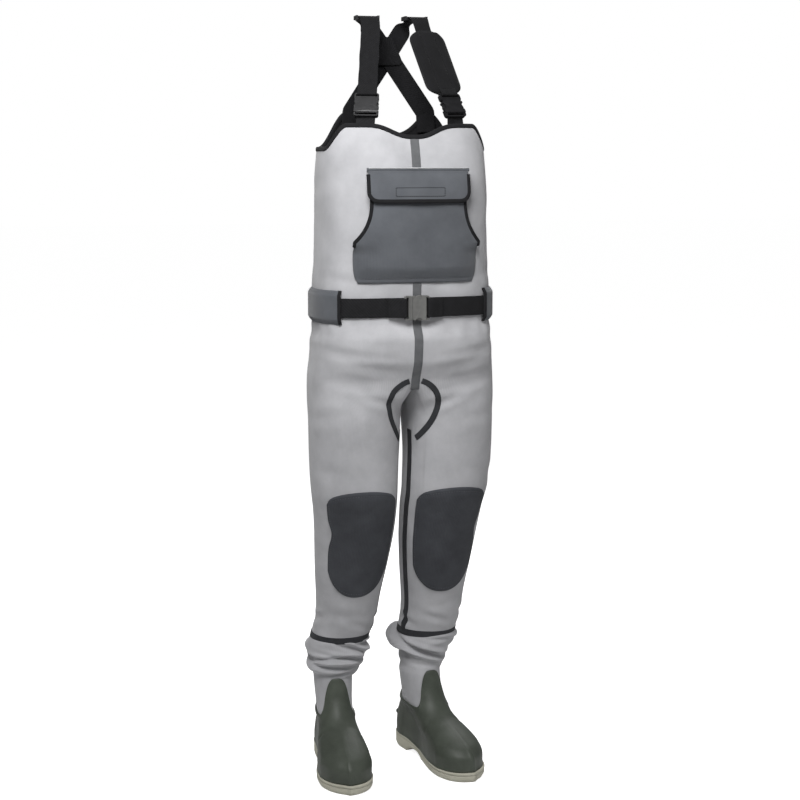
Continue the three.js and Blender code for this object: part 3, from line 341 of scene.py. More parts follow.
def knit_neoprene(name, low, high, wale=2.4, sheen=0.25, rough=0.92):
    """Jersey laminated to neoprene foam. The knit makes a matt face with a soft sheen at the edge
    of view. Its wales are 0.9 mm apart, and are drawn 2.4 mm apart so that they show."""
    made = new_material(name)
    lay = node(made, "ShaderNodeAttribute", attribute_name="lay")
    place = node(made, "ShaderNodeTexCoord")
    wales = node(made, "ShaderNodeTexWave",
                 {"Vector": (lay, "Vector"), "Scale": WAVE_PERIOD / (wale * METRE),
                  "Distortion": 0.8, "Detail": 1.0, "Detail Scale": 3.0},
                 wave_type="BANDS", bands_direction="X")
    courses = node(made, "ShaderNodeTexWave",
                   {"Vector": (lay, "Vector"), "Scale": WAVE_PERIOD / (0.8 * wale * METRE),
                    "Distortion": 1.2, "Detail": 1.0, "Detail Scale": 2.0},
                   wave_type="BANDS", bands_direction="Y")
    loops = node(made, "ShaderNodeMath", {0: (wales, "Fac"), 1: (courses, "Fac")},
                 operation="MULTIPLY")
    fluff = node(made, "ShaderNodeTexNoise",
                 {"Vector": (place, "Object"), "Scale": 900.0, "Detail": 3.0})
    mottle = node(made, "ShaderNodeTexNoise",
                  {"Vector": (place, "Object"), "Scale": 16.0, "Detail": 5.0, "Roughness": 0.6})
    height = node(made, "ShaderNodeMath", {0: (fluff, "Fac"), 1: 0.5, 2: (loops, "Value")},
                  operation="MULTIPLY_ADD")
    shade = node(made, "ShaderNodeMath", {0: (loops, "Value"), 1: 0.20, 2: (mottle, "Fac")},
                 operation="MULTIPLY_ADD")
    return close_material(made, (shade, "Value"), low, high, (height, "Value"), 0.22,
                          Roughness=rough, **{"Sheen Weight": sheen, "Sheen Roughness": 0.5,
                                              "Specular IOR Level": 0.2})


grey_neoprene = knit_neoprene("light_grey_knit_on_neoprene", "#8f8f92", "#bcbcbf")
lining = knit_neoprene("black_nylon_lining", "#0d0d0e", "#1b1b1d", sheen=0.03)

PANEL_COLUMNS = 100
PANEL_ROWS = 120
EDGE_ROW = 0.0005  # a thin row at each cut edge keeps the edge's shading off the face
panel_turns = even_turns(PANEL_COLUMNS)
panel_up = np.linspace(0, 1, PANEL_ROWS + 1)
panel_up = np.insert(panel_up, [1, PANEL_ROWS], [EDGE_ROW, 1 - EDGE_ROW])[:, None]
for name, side in SIDES:
    heights = mix(CROTCH_Z, neck_z(panel_turns)[None, :], panel_up)
    outer, out = torso_skin(side, panel_turns[None, :], heights)
    outer[:, [0, -1], 0] = SEAM_HALF
    inner = outer - out * NEOPRENE
    inner[:, [0, -1], 0] = SEAM_HALF
    walled("torso_" + name, mirrored(outer, side), mirrored(inner, side), [grey_neoprene, lining],
           "suit", ["torso_panel_" + name])

# ---------------------------------------------------------------- legs
# Each leg is one tube of the same neoprene, sewn to the torso at the crotch and down the inside.
# It ends at the calf tape, where the ankle sleeve is glued on.

LEG = np.array([  # height, centre x, centre y, half width, half depth
    (122, 98, 88, 36, 59.7),
    (145, 98, 95, 35.8, 54.7),
    (170, 98, 104, 37, 54),
    (195, 98, 108, 44, 56),
    (215, 97, 110, 55, 62),
    (240, 97, 112, 62, 67),
    (272, 97, 108, 62, 66),
    (300, 96, 98, 63, 66),
    (360, 95, 80, 67, 68),
    (430, 93, 58, 75, 74),
    (490, 92, 42, 81, 79),
    (560, 94, 20, 86, 84),
    (610, 98, 6, 89, 90),
    (700, 101, 2, 92, 98),
    (770, 100, 0, 94, 106),
    (860, 100, 0, 96, 112),
], float)
LEG_POWER = 2.15
LEG_FOOT_Z = 271
LEG_GIRTH = 540
SPLIT_HEIGHT = 85  # over this height the half torso turns into a round leg
FEET = {"left": (60, 165, 11.5), "right": (117.4, 165, 5)}  # heel x, heel y and splay in degrees


def foot_shift(name, z):
    heel_x, _, splay = FEET[name]
    ankle = heel_x + 80 * math.sin(math.radians(splay))
    return (ankle - 98) * smooth((350 - z) / 210)


def leg_point(name, t, z):
    """A leg's form, drawn for the left side. t runs from the front inner line round the outside."""
    t, z = np.broadcast_arrays(np.asarray(t, float) % 1.0, np.asarray(z, float))
    cx, cy, half, depth = read(LEG, z)
    a = np.radians(-135 + 360 * t)
    x = cx + foot_shift(name, z) + half * power(np.cos(a), LEG_POWER)
    y = cy + depth * power(np.sin(a), LEG_POWER)
    top = torso_point(-90 + 240 * np.minimum(t, 0.75), np.maximum(z, TORSO[0, 0]))
    front, back = torso_point(-90, TORSO[0, 0])[1], torso_point(90, TORSO[0, 0])[1]
    inside = t > 0.75
    top_x = np.maximum(np.where(inside, 0, top[..., 0]), SEAM_HALF)
    top_y = np.where(inside, mix(back, front, (t - 0.75) / 0.25), top[..., 1])
    share = smooth((CROTCH_Z - z) / SPLIT_HEIGHT)
    return np.stack([mix(top_x, x, share), mix(top_y, y, share), z], -1)


LEG_FOLDS = {  # millimetres round the leg, height, slant, length, width, depth
    "left": [(62, 838, 16, 40, 11, 6.0), (40, 806, 30, 34, 9, 3.4), (92, 846, 10, 40, 10, 3.0),
             (110, 768, 8, 50, 12, 1.2), (330, 505, 4, 60, 8, 3.5), (350, 480, -8, 52, 7, 3.2),
             (320, 535, 12, 46, 8, 2.6), (160, 640, -10, 60, 14, 1.2), (90, 350, 12, 46, 10, 1.6),
             (60, 312, -14, 40, 7, 2.4), (170, 318, 10, 34, 8, 2.2), (500, 300, -12, 40, 7, 3.0)],
    "right": [(64, 840, 14, 42, 11, 6.0), (40, 808, 30, 34, 9, 3.4), (96, 848, 10, 40, 10, 3.0),
              (150, 770, -8, 50, 12, 1.4), (330, 505, -4, 60, 8, 3.5), (345, 482, 8, 52, 7, 3.2),
              (322, 532, -12, 46, 8, 2.6), (90, 330, 8, 50, 10, 1.8), (190, 318, -10, 44, 8, 2.4),
              (40, 305, 14, 36, 7, 2.4), (480, 310, 10, 40, 8, 2.6), (130, 655, 8, 60, 14, 1.2)],
}


def leg_relief(name, t, z):
    girth = t * LEG_GIRTH
    away = 1.0 if name == "left" else 2.3
    wave = 1.1 * np.sin(z / 47 + away + 2 * np.pi * t) * np.sin(z / 91 - 4 * np.pi * t + away)
    folds = creases(girth, z, LEG_FOLDS[name], LEG_GIRTH)
    calm = smooth((z - LEG_FOOT_Z) / 14)
    above = torso_relief(1 if name == "left" else -1, -90 + 240 * np.minimum(t, 0.75), z)
    above = above * (t < 0.75) * smooth(t / 0.04) * smooth((0.75 - t) / 0.04)
    return mix(above, (wave + folds) * calm, smooth((CROTCH_Z - z) / 60))


def leg_skin(name, t, z, lift=0.0):
    t, z = np.broadcast_arrays(np.asarray(t, float), np.asarray(z, float))
    return skin(lambda u, v: leg_point(name, u, v), t, z, 0.006, 2.0,
                leg_relief(name, t, z) + lift)


LEG_COLUMNS = 150
LEG_ROWS = 170
turns = np.linspace(0, 1, LEG_COLUMNS, endpoint=False)[None, :]
heights = np.linspace(LEG_FOOT_Z, CROTCH_Z, LEG_ROWS + 1)
heights = np.insert(heights, LEG_ROWS, CROTCH_Z - 0.25)[:, None]
for name, side in SIDES:
    outer, out = leg_skin(name, turns, heights)
    apart = np.maximum(outer[..., 0], SEAM_HALF)
    outer[..., 0] = np.where(heights > CROTCH_Z - 20, apart, outer[..., 0])
    inner = outer - out * NEOPRENE
    walled("leg_" + name, mirrored(outer, side), mirrored(inner, side), [grey_neoprene, lining],
           "suit", ["leg_panel_" + name], wrap=True)

# ---------------------------------------------------------------- ankle sleeves
# The slack of the leg gathers over the boot. Each sleeve is the same neoprene, pushed down into
# deep rolls, and its narrow foot is glued inside the boot's shaft.

BOOT_LENGTH = 308
BOOT_WALL = 3.5
FOREFOOT_SOLE = 20
HEEL_SOLE = 31
SOLE = np.array([  # distance from the heel, inner half width, outer half width
    (0, 0, 0),
    (4, 17, 17),
    (16, 30, 30),
    (45, 37, 37),
    (90, 36, 38),
    (130, 35, 41),
    (170, 43, 48),
    (210, 51, 54),
    (240, 53, 53),
    (270, 47, 43),
    (292, 33, 25),
    (303, 17, 9),
    (308, 4, 4),
], float)
UPPER = np.array([  # height, front, back, half width, share of oval section
    (20, 303, 3, 50, 0),
    (44, 302, 2, 51, 0),
    (62, 289, 1, 49, 0.05),
    (76, 256, 1, 46, 0.2),
    (88, 218, 3, 42, 0.4),
    (100, 182, 6, 40.5, 0.65),
    (114, 159, 9, 42.5, 0.85),
    (132, 143, 11, 42.5, 1),
    (155, 130.5, 9, 44, 1),
    (200, 121, 4, 46, 1),
], float)


def sole_point(t, grow=0.0):
    """The sole's outline with its heel at the origin and its toe towards -Y, for the left foot."""
    outer_side = t <= 0.5
    share = np.where(outer_side, t * 2, 2 - t * 2)
    along = 154 - 154 * np.cos(np.pi * share)
    inner_half, outer_half = read(SOLE, along)
    half = np.where(outer_side, outer_half, -inner_half)
    return half * (1 + grow / 50), -154 - (along - 154) * (1 + grow / 154), along


def upper_point(t, z, inset=0.0):
    t, z = np.broadcast_arrays(np.asarray(t, float), np.asarray(z, float))
    front, back, half, oval = read(UPPER, z)
    foot_x, foot_y, _ = sole_point(t)
    mid, reach = (front + back) / 2, (front - back) / 2
    x1 = foot_x * (half / 50) * (1 - inset / half)
    y1 = -mid + (foot_y + 154) * (reach - inset) / 154
    a = 2 * np.pi * t
    x2 = (half - inset) * np.sin(a)
    y2 = -mid + (reach - inset) * np.cos(a)
    return np.stack([mix(x1, x2, oval), mix(y1, y2, oval), z], -1)


def shaft_z(t):
    front = np.exp(-((np.abs(t - 0.5) / 0.11) ** 3.5))
    back = np.exp(-((np.minimum(t, 1 - t) / 0.09) ** 2))
    return 112 + 78 * front + 22 * back


def sole_top(along):
    return FOREFOOT_SOLE + (HEEL_SOLE - FOREFOOT_SOLE) * smooth((150 - along) / 80)


def on_foot(name, points, side):
    """Puts points drawn for a left foot at the origin where that foot stands."""
    heel_x, heel_y, splay = FEET[name]
    a = side * math.radians(splay)
    x, y = points[..., 0] * side, points[..., 1]
    return np.stack([side * heel_x + x * math.cos(a) - y * math.sin(a),
                     heel_y + x * math.sin(a) + y * math.cos(a), points[..., 2]], -1)


SLEEVE_GIRTH = 400
SLEEVE_FOOT_Z = 94
SHAFT_TOP_Z = 190
SLACK = {  # height, and the half width and half depth that the slack adds to the leg's form
    "left": np.array([(122, 0, 0), (190, 0, 0), (205, -2, -2), (222, -6, -4), (236, -4, -2),
                      (248, 3, 3), (260, 4, 4), (271, 0, 0)], float),
    "right": np.array([(122, 0, 0), (190, 3, 2), (200, 9, 6), (212, 7, 6), (226, 3, 3),
                       (250, 3, 2), (264, 1, 1), (271, 0, 0)], float),
}
SLEEVE_FOLDS = {
    "left": [(330, 254, -14, 62, 9, -12.0), (20, 236, -17, 74, 5.5, 9.0), (96, 219, -8, 44, 5, 4.0),
             (112, 250, 8, 36, 5, 3.0), (200, 240, 12, 52, 6, 6.0), (256, 222, -8, 52, 6, 5.0),
             (70, 258, -6, 34, 5, 2.5), (150, 206, 6, 44, 6, 3.0)],
    "right": [(20, 247, 20, 36, 4.5, 7.0), (100, 228, -4, 62, 4.5, 5.5), (40, 232, 8, 50, 4.5, 5.0),
              (70, 213, 3, 76, 5, 6.5), (10, 200, -4, 50, 4, 5.0), (390, 256, 4, 34, 5, 6.0),
              (180, 236, 14, 46, 6, 4.5), (260, 218, -10, 52, 6, 6.0), (300, 244, 8, 52, 6, 6.0)],
}


def sleeve_point(name, t, z):
    form = leg_point(name, t, z)
    wide, deep = read(SLACK[name], z)
    a = np.radians(-135 + 360 * (np.asarray(t, float) % 1.0))
    form[..., 0] += wide * power(np.cos(a), LEG_POWER)
    form[..., 1] += deep * power(np.sin(a), LEG_POWER)
    shaft = on_foot(name, upper_point((0.625 - t) % 1.0, z, BOOT_WALL + 0.4), 1)
    share = smooth((SHAFT_TOP_Z + 14 - z) / 26)
    return mix(form, shaft, np.asarray(share)[..., None])


def sleeve_skin(name, t, z):
    t, z = np.broadcast_arrays(np.asarray(t, float), np.asarray(z, float))
    folds = creases(t * SLEEVE_GIRTH, z, SLEEVE_FOLDS[name], SLEEVE_GIRTH)
    drift = 2.0 * np.sin(z / 9 + 4 * np.pi * t) * smooth((z - 190) / 12)
    calm = smooth((LEG_FOOT_Z - z) / 9) * smooth((z - 186) / 8)
    return skin(lambda u, v: sleeve_point(name, u, v), t, z, 0.006, 1.2,
                (1.4 * folds + drift) * calm)


SLEEVE_COLUMNS = 170
SLEEVE_ROWS = 90
turns = np.linspace(0, 1, SLEEVE_COLUMNS, endpoint=False)[None, :]
heights = np.linspace(SLEEVE_FOOT_Z, LEG_FOOT_Z, SLEEVE_ROWS + 1)[:, None]
for name, side in SIDES:
    outer, out = sleeve_skin(name, turns, heights)
    inner = outer - out * NEOPRENE
    walled("sleeve_" + name, mirrored(outer, side), mirrored(inner, side), [grey_neoprene, lining],
           "suit", ["ankle_sleeve_" + name], wrap=True)

# ---------------------------------------------------------------- neck binding
# A folded strip of black stretch knit, sewn over the cut edge of the bib all the way round.

BINDING_HEIGHT = 9.5
BINDING_THICK = NEOPRENE + 3.4
NECK_STEPS = 720


def loft(rings, closed=False):
    """Points and faces of a tube through rings of points, with flat ends unless it is closed."""
    count, around = rings.shape[:2]
    place = np.arange(around)
    after = (place + 1) % around
    row = np.arange(count if closed else count - 1)[:, None]
    low, high = row * around, ((row + 1) % count) * around
    faces = np.stack([low + place, low + after, high + after, high + place], -1).reshape(-1, 4)
    faces = faces.tolist()
    kinds = [0] * len(faces)
    if not closed:
        faces += [list(range(around))[::-1], list(range((count - 1) * around, count * around))]
        kinds += [2, 2]
    return rings.reshape(-1, 3), faces, np.array(kinds)


def flat_section(width, thick, points=16, squareness=4.0):
    """A flat strap's section: a rounded rectangle round the middle, as across and out."""
    a = np.linspace(0, 2 * np.pi, points, endpoint=False) + np.pi / points
    return np.stack([power(np.cos(a), squareness) * width / 2,
                     power(np.sin(a), squareness) * thick / 2], -1)


def directions(path, out, closed=False):
    """Unit along and across of a path that faces out, and out made square to both."""
    if closed:
        along = np.roll(path, -1, 0) - np.roll(path, 1, 0)
    else:
        along = np.gradient(path, axis=0)
    along = unit(along)
    across = unit(np.cross(along, out))
    return along, across, unit(np.cross(across, along))


def strap(path, out, sections, closed=False):
    """Rings of a flat strap along a path. sections is one section, or one for each point."""
    _, across, facing = directions(path, out, closed)
    sections = np.broadcast_to(sections, (len(path),) + np.shape(sections)[-2:])
    return (path[:, None] + across[:, None] * sections[..., :1]
            + facing[:, None] * sections[..., 1:])


def strap_lay(rings):
    """Distance across and along a strap, in metres."""
    ring = rings[len(rings) // 2]
    across = np.linalg.norm(ring - ring[0], axis=1)
    run = np.linalg.norm(np.diff(rings.mean(1), axis=0), axis=1)
    along = np.concatenate([[0], np.cumsum(run)])
    lay = np.stack(np.broadcast_arrays(across[None, :], along[:, None]), -1)
    return lay.reshape(-1, 2) * METRE


def lofted(name, rings, look, body, replaces=(), closed=False):
    """One piece from rings of points, such as a strap, a tape or a sole."""
    points, faces, kinds = loft(rings, closed)
    return piece(name, points, faces, [look], body, replaces, strap_lay(rings), kinds)


def ribbed_tape(name, low, high, rib, rough=0.8, depth=0.25):
    """A narrow knitted or woven tape. Its ribs run across it and catch a little light."""
    made = new_material(name)
    lay = node(made, "ShaderNodeAttribute", attribute_name="lay")
    place = node(made, "ShaderNodeTexCoord")
    ribs = node(made, "ShaderNodeTexWave",
                {"Vector": (lay, "Vector"), "Scale": WAVE_PERIOD / (rib * METRE),
                 "Distortion": 0.4, "Detail": 1.0},
                wave_type="BANDS", bands_direction="Y")
    wear = node(made, "ShaderNodeTexNoise",
                {"Vector": (place, "Object"), "Scale": 60.0, "Detail": 6.0, "Roughness": 0.65})
    shade = node(made, "ShaderNodeMath", {0: (ribs, "Fac"), 1: 0.35, 2: (wear, "Fac")},
                 operation="MULTIPLY_ADD")
    return close_material(made, (shade, "Value"), low, high, (ribs, "Fac"), depth,
                          Roughness=rough, **{"Sheen Weight": 0.04, "Specular IOR Level": 0.15})


black_binding = ribbed_tape("black_knit_binding", "#0c0c0d", "#1f1f21", 1.8)

half_round = even_turns(NECK_STEPS // 2)
fine_turns = np.concatenate([half_round, 180 - half_round[-2:0:-1]])
mirror = np.where(fine_turns > 90, -1, 1)
turn = np.where(fine_turns > 90, 180 - fine_turns, fine_turns)
edge = torso_point(turn, neck_z(turn), NEOPRENE / 2)
_, out = skin(torso_point, turn, neck_z(turn), 0.8, 2.0, np.zeros(len(turn)))
edge[:, 0] *= mirror
out[:, 0] *= mirror
out[np.abs(np.abs(turn) - 90) < 0.5, 0] = 0
path = edge + np.array([0, 0, 1.6])
rings = strap(path, out, flat_section(BINDING_HEIGHT, BINDING_THICK, 18, 3.2), closed=True)
lofted("neck_bound_edge", rings, black_binding, "suit", ["neck_binding"], closed=True)

# ---------------------------------------------------------------- seam tapes
# Heat-glued tapes cover the seams: dark grey down the front and back, near black on the inside
# of the legs, round the gusset and round each calf. Each is about a millimetre thick.

grey_tape = ribbed_tape("grey_seam_tape", "#434446", "#67686a", 2.2)
dark_tape = ribbed_tape("dark_seam_tape", "#1f2022", "#38393c", 2.2)

SEAM_TAPE_WIDTH = 18
TAPE_THICK = 1.6
POCKET_TOP_Z = 1262
POCKET_HEIGHT = 218
POCKET_FOOT_Z = POCKET_TOP_Z - POCKET_HEIGHT
FLAP_SEAM = 9


def tape(name, path, out, width, look, replaces, closed=False):
    rings = strap(path, out, flat_section(width, TAPE_THICK, 14, 5.0), closed)
    lofted(name, rings, look, "suit", replaces, closed)


def centre_line(degrees, low, high, count=90):
    z = np.linspace(low, high, count)
    y = torso_point(degrees, np.maximum(z, CROTCH_Z))[:, 1]
    below = leg_point("left", 0.0 if degrees < 0 else 0.75, np.minimum(z, CROTCH_Z))[:, 1]
    y = np.where(z < CROTCH_Z, below, y) + math.copysign(0.3, degrees)
    path = np.stack([np.zeros(count), y, z], -1)
    return path, np.broadcast_to([0.0, math.copysign(1, degrees), 0.0], path.shape)


for name, degrees, low, high, stands_for in (
    ("front_tape_upper", -90, POCKET_TOP_Z + FLAP_SEAM - 2, float(neck_z(-90.0)) - 2,
     "front_seam_tape_upper"),
    ("front_tape_lower", -90, CROTCH_Z - 24, POCKET_FOOT_Z + 4, "front_seam_tape_lower"),
    ("back_tape", 90, CROTCH_Z - 20, float(neck_z(90.0)) - 2, "back_seam_tape"),
):
    path, out = centre_line(degrees, low, high)
    tape(name, path, out, SEAM_TAPE_WIDTH, grey_tape, [stands_for])

BAND_WIDTH = 15
BAND_Z = 272
INSEAM_TOP = 735
INSEAM_WIDTH = 16
INSEAM_ANGLE = 196  # degrees round the leg, on its inner side
GUSSET_WIDTH = 12
GUSSET_TOP = 846.0
GUSSET_FOOT = 720.0
for name, side in SIDES:
    turns = np.linspace(0, 1, 180, endpoint=False)
    path, out = leg_skin(name, turns, np.full(180, float(BAND_Z)), 0.2)
    tape("calf_tape_" + name, mirrored(path, side), mirrored(out, side), BAND_WIDTH,
         dark_tape, ["calf_band_" + name], closed=True)

    z = np.linspace(INSEAM_TOP, BAND_Z + 6, 140)
    path, out = leg_skin(name, np.full(140, (INSEAM_ANGLE + 135) / 360 % 1), z, 0.1)
    tape("inseam_" + name, mirrored(path, side), mirrored(out, side), INSEAM_WIDTH, dark_tape,
         ["inseam_tape_" + name])

    share = np.linspace(0, 1, 60)
    bulge = np.sin(np.pi * share) ** 0.8
    around = 0.006 - 0.05 * share**2 + 0.046 * bulge
    path, out = leg_skin(name, around, mix(GUSSET_TOP, GUSSET_FOOT, share), 0.5)
    tape("gusset_" + name, mirrored(path, side), mirrored(out, side), GUSSET_WIDTH, dark_tape,
         ["gusset_tape_" + name])

# ---------------------------------------------------------------- knee pads
# A second layer of dark, hard-wearing neoprene over each knee, moulded with a fine grain and sewn
# on round its edge. It narrows at the outer side where the knee bends.

KNEE_LOW = 376
KNEE_HIGH = 618
KNEE_HALF = 54
KNEE_THICK = 3.0
STITCH_INSET = 0.036  # share of the pad's height between its edge and the stitching
knee_neoprene = knit_neoprene("charcoal_abrasion_cloth_on_neoprene", "#292a2e", "#4a4c51", 3.0,
                              0.05, 0.8)
thread = ribbed_tape("polyester_thread", "#3c3d40", "#6b6c70", 0.8)
dark_thread = ribbed_tape("black_polyester_thread", "#060606", "#161617", 0.8)


def stitches(name, path, out, body, look, length=3.4, gap=2.0, thick=0.9, closed=False):
    """A row of lock stitches: short rounded lengths of thread that sink in at both ends."""
    if closed:
        path, out = np.concatenate([path, path[:1]]), np.concatenate([out, out[:1]])
    run = np.concatenate([[0], np.cumsum(np.linalg.norm(np.diff(path, axis=0), axis=1))])
    count = max(2, int(run[-1] / (length + gap)))
    middle = (np.arange(count) + 0.5) * run[-1] / count
    at = np.stack([np.interp(middle, run, path[:, k]) for k in range(3)], -1)
    after = np.stack([np.interp(middle + 0.5, run, path[:, k]) for k in range(3)], -1)
    before = np.stack([np.interp(middle - 0.5, run, path[:, k]) for k in range(3)], -1)
    facing = unit(np.stack([np.interp(middle, run, out[:, k]) for k in range(3)], -1))
    along = unit(after - before)
    aside = unit(np.cross(along, facing))
    ring_at = np.array([-0.5, -0.3, 0.0, 0.3, 0.5]) * length
    ring_size = np.array([0.35, 0.85, 1.0, 0.85, 0.35]) * thick / 2
    ring_lift = np.array([-0.6, -0.1, 0.1, -0.1, -0.6]) * thick
    a = np.linspace(0, 2 * np.pi, 6, endpoint=False)
    local = np.stack([np.repeat(ring_at, 6), np.outer(ring_size, np.cos(a)).ravel(),
                      (np.outer(ring_size, np.sin(a)) + ring_lift[:, None]).ravel()], -1)
    base = np.stack([along, aside, facing], 1)
    points = at[:, None] + np.einsum("kp,nps->nks", local, base)
    _, faces, kinds = loft(np.zeros((5, 6, 3)))
    every = [[i + 30 * n for i in face] for n in range(count) for face in faces]
    lay = np.zeros((30 * count, 2))
    lay[:, 1] = points.reshape(-1, 3)[:, 2] * METRE
    return piece(name, points.reshape(-1, 3), every, [look], body, (), lay,
                 np.tile(kinds, count))


def knee_place(e, v):
    """Angle round the leg and height of a point of the pad: e from -1 to 1, v from 0 to 1."""
    low = KNEE_LOW + 85 * (1 - np.sqrt(1 - 0.98 * np.abs(e) ** 2.1))
    z = mix(low, KNEE_HIGH - 18 * e * e - 12 * np.abs(e) ** 12, v)
    waist = np.where(e > 0, 7 * np.exp(-(((z - 520) / 25) ** 2)), 0)
    return ((-90 + e * (KNEE_HALF - waist) + 135) / 360) % 1, z


e = np.linspace(-1, 1, 61)[None, :]
v = np.linspace(0, 1, 81)[:, None]
for name, side in SIDES:
    around, z = knee_place(e, v)
    rim = np.minimum((1 - np.abs(e)) * 75, np.minimum(v, 1 - v) * 190)
    crown = KNEE_THICK * np.sqrt(np.clip(1 - (1 - np.clip(rim / 5, 0, 1)) ** 2, 0, 1))
    seam_dip = 0.9 * np.exp(-(((rim - 7) / 1.8) ** 2))
    outer, out = leg_skin(name, around, z, 0.3 + crown - seam_dip)
    inner, _ = leg_skin(name, around, z, -0.6)
    pad = walled("knee_patch_" + name, mirrored(outer, side), mirrored(inner, side), [knee_neoprene],
                 "suit", ["knee_pad_" + name], round_rim=True)
    s = np.linspace(0, 1, 60)
    edge_in = 0.91
    foot, head = STITCH_INSET, 1 - STITCH_INSET
    loop_e = np.concatenate([mix(-edge_in, edge_in, s), np.full(60, edge_in),
                             mix(edge_in, -edge_in, s), np.full(60, -edge_in)])
    loop_v = np.concatenate([np.full(60, foot), mix(foot, head, s),
                             np.full(60, head), mix(head, foot, s)])
    around, z = knee_place(loop_e, loop_v)
    path, out = leg_skin(name, around, z, 0.3 + KNEE_THICK - 0.9)
    stitches("knee_stitching_" + name, mirrored(path, side), mirrored(out, side), "suit",
             thread, closed=True)

# ---------------------------------------------------------------- chest pocket
# A hand-warmer pouch of dark grey neoprene, sewn down at its foot and its lower sides and open at
# both hands. A flap hangs over its mouth and closes on a strip of hook and loop.

POCKET_HALF = 128
FLAP_HALF = 102
FLAP_HEIGHT = 56
FLAP_CORNER = 18
POCKET_THICK = 3
HAND_ROOM = 10
LAY_GAP = 0.6
HAND_FOOT_Z = POCKET_TOP_Z - 137
POUCH_TOP_Z = POCKET_TOP_Z - 17
GRIP_ROOM = LAY_GAP + 2 * 1.2 + 1.2
EDGE_BINDING = 7
dark_neoprene = knit_neoprene("slate_knit_on_neoprene", "#404246", "#5f6267")


def pouch_half(z):
    z = np.asarray(z, float)
    down = np.clip((HAND_FOOT_Z - z) / (HAND_FOOT_Z - POCKET_FOOT_Z), 0, 1)
    up = np.clip((z - HAND_FOOT_Z) / 84, 0, 1)
    neck = FLAP_HALF - 6
    hand_edge = neck + (POCKET_HALF - neck) * (1 - up) ** 2.5
    return np.where(z < HAND_FOOT_Z, POCKET_HALF - 10 * down**6, hand_edge)


def stand_off(x):
    return LAY_GAP + HAND_ROOM + 5 * (x / POCKET_HALF) ** 2


def pouch_back(x, z):
    foot = smooth((z - POCKET_FOOT_Z) / 34)
    edge = np.minimum(1, np.abs(x) / pouch_half(z))
    sewn = np.where(z < HAND_FOOT_Z, 1 - edge**5 * smooth((HAND_FOOT_Z - z) / 25), 1)
    return chest_y(x, z) - mix(LAY_GAP + 0.3, stand_off(x), foot * sewn)


def flap_back(x, z):
    return chest_y(x, z) - stand_off(x) - POCKET_THICK - GRIP_ROOM


def flap_low_z(x):
    past = np.maximum(0, np.abs(x) - (FLAP_HALF - FLAP_CORNER)) / FLAP_CORNER
    rise = 1 - np.sqrt(np.maximum(0, 1 - (0.96 * past) ** 2))
    return POCKET_TOP_Z - FLAP_HEIGHT + FLAP_CORNER * rise


def flap_belly(x, z, up):
    """How far the flap's face stands off a flat one, at a share up of its height."""
    swell = 2.0 * np.sin(np.pi * up) ** 2 * np.cos(x / FLAP_HALF * np.pi / 2)
    return swell + 0.9 * np.sin(x / 17 + 1.3) * smooth((POCKET_TOP_Z - z) / 40) * (1 - up)


def to_front(path):
    return np.broadcast_to([0.0, -1.0, 0.0], path.shape)


def eased(path, times):
    """A path with its bends eased and its ends kept."""
    for _ in range(times):
        path[1:-1] = (path[:-2] + 2 * path[1:-1] + path[2:]) / 4
    return path


z = np.linspace(POCKET_FOOT_Z, POUCH_TOP_Z, 111)[:, None]
share = np.linspace(-1, 1, 101)[None, :]
x = share * pouch_half(z)
back = pouch_back(x, z)
edge_room = np.minimum((1 - np.abs(share)) * pouch_half(z), (z - POCKET_FOOT_Z) * np.ones_like(x))
round_off = 1 - (1 - np.clip(edge_room / 4, 0, 1)) ** 2
sag = 1.3 * np.sin(z / 33 + x / 41) * smooth(edge_room / 30)
hem = 0.8 * np.exp(-(((z - POCKET_FOOT_Z - 9) / 1.6) ** 2))
front = back - POCKET_THICK * (0.45 + 0.55 * np.sqrt(np.clip(round_off, 0, 1))) - sag + hem
outer = np.stack(np.broadcast_arrays(x, front, z), -1)
inner = np.stack(np.broadcast_arrays(x, back, z), -1)
walled("pouch", outer, inner, [dark_neoprene, lining], "suit", ["pocket_pouch"])

foot_z = np.full(160, POCKET_FOOT_Z + 9.0)
foot_x = np.linspace(-0.93, 0.93, 160) * pouch_half(foot_z)
path = np.stack([foot_x, pouch_back(foot_x, foot_z) - POCKET_THICK + 0.2, foot_z], -1)
stitches("pouch_foot_stitching", path, to_front(path), "suit", thread)

edge_section = flat_section(EDGE_BINDING + 1.5, POCKET_THICK + 2.6, 14, 2.8)
for name, side in SIDES:
    z = np.linspace(HAND_FOOT_Z - 8, POUCH_TOP_Z, 90)
    half = pouch_half(z)
    path = np.stack([half - 0.8, pouch_back(half, z) - POCKET_THICK / 2, z], -1)
    rings = strap(mirrored(path, side), to_front(path), edge_section)
    lofted("hand_bound_edge_" + name, rings, black_binding, "suit",
           ["hand_binding_" + name])

# The flap turns on its seam; its cloth runs straight on up past the pocket's top into the seam.
x = np.linspace(-FLAP_HALF, FLAP_HALF, 101)[None, :]
up = np.linspace(0, 1, 41)[:, None]
z = mix(flap_low_z(x), POCKET_TOP_Z + 3.0, up)
back = flap_back(x, np.minimum(z, POCKET_TOP_Z))
belly = flap_belly(x, z, up)
outer = np.stack(np.broadcast_arrays(x, back - POCKET_THICK - belly, z), -1)
inner = np.stack(np.broadcast_arrays(x, back - belly * 0.8, z), -1)
flap = walled("flap", outer, inner, [dark_neoprene, lining], None,
              ["pocket_flap"])
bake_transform(flap)

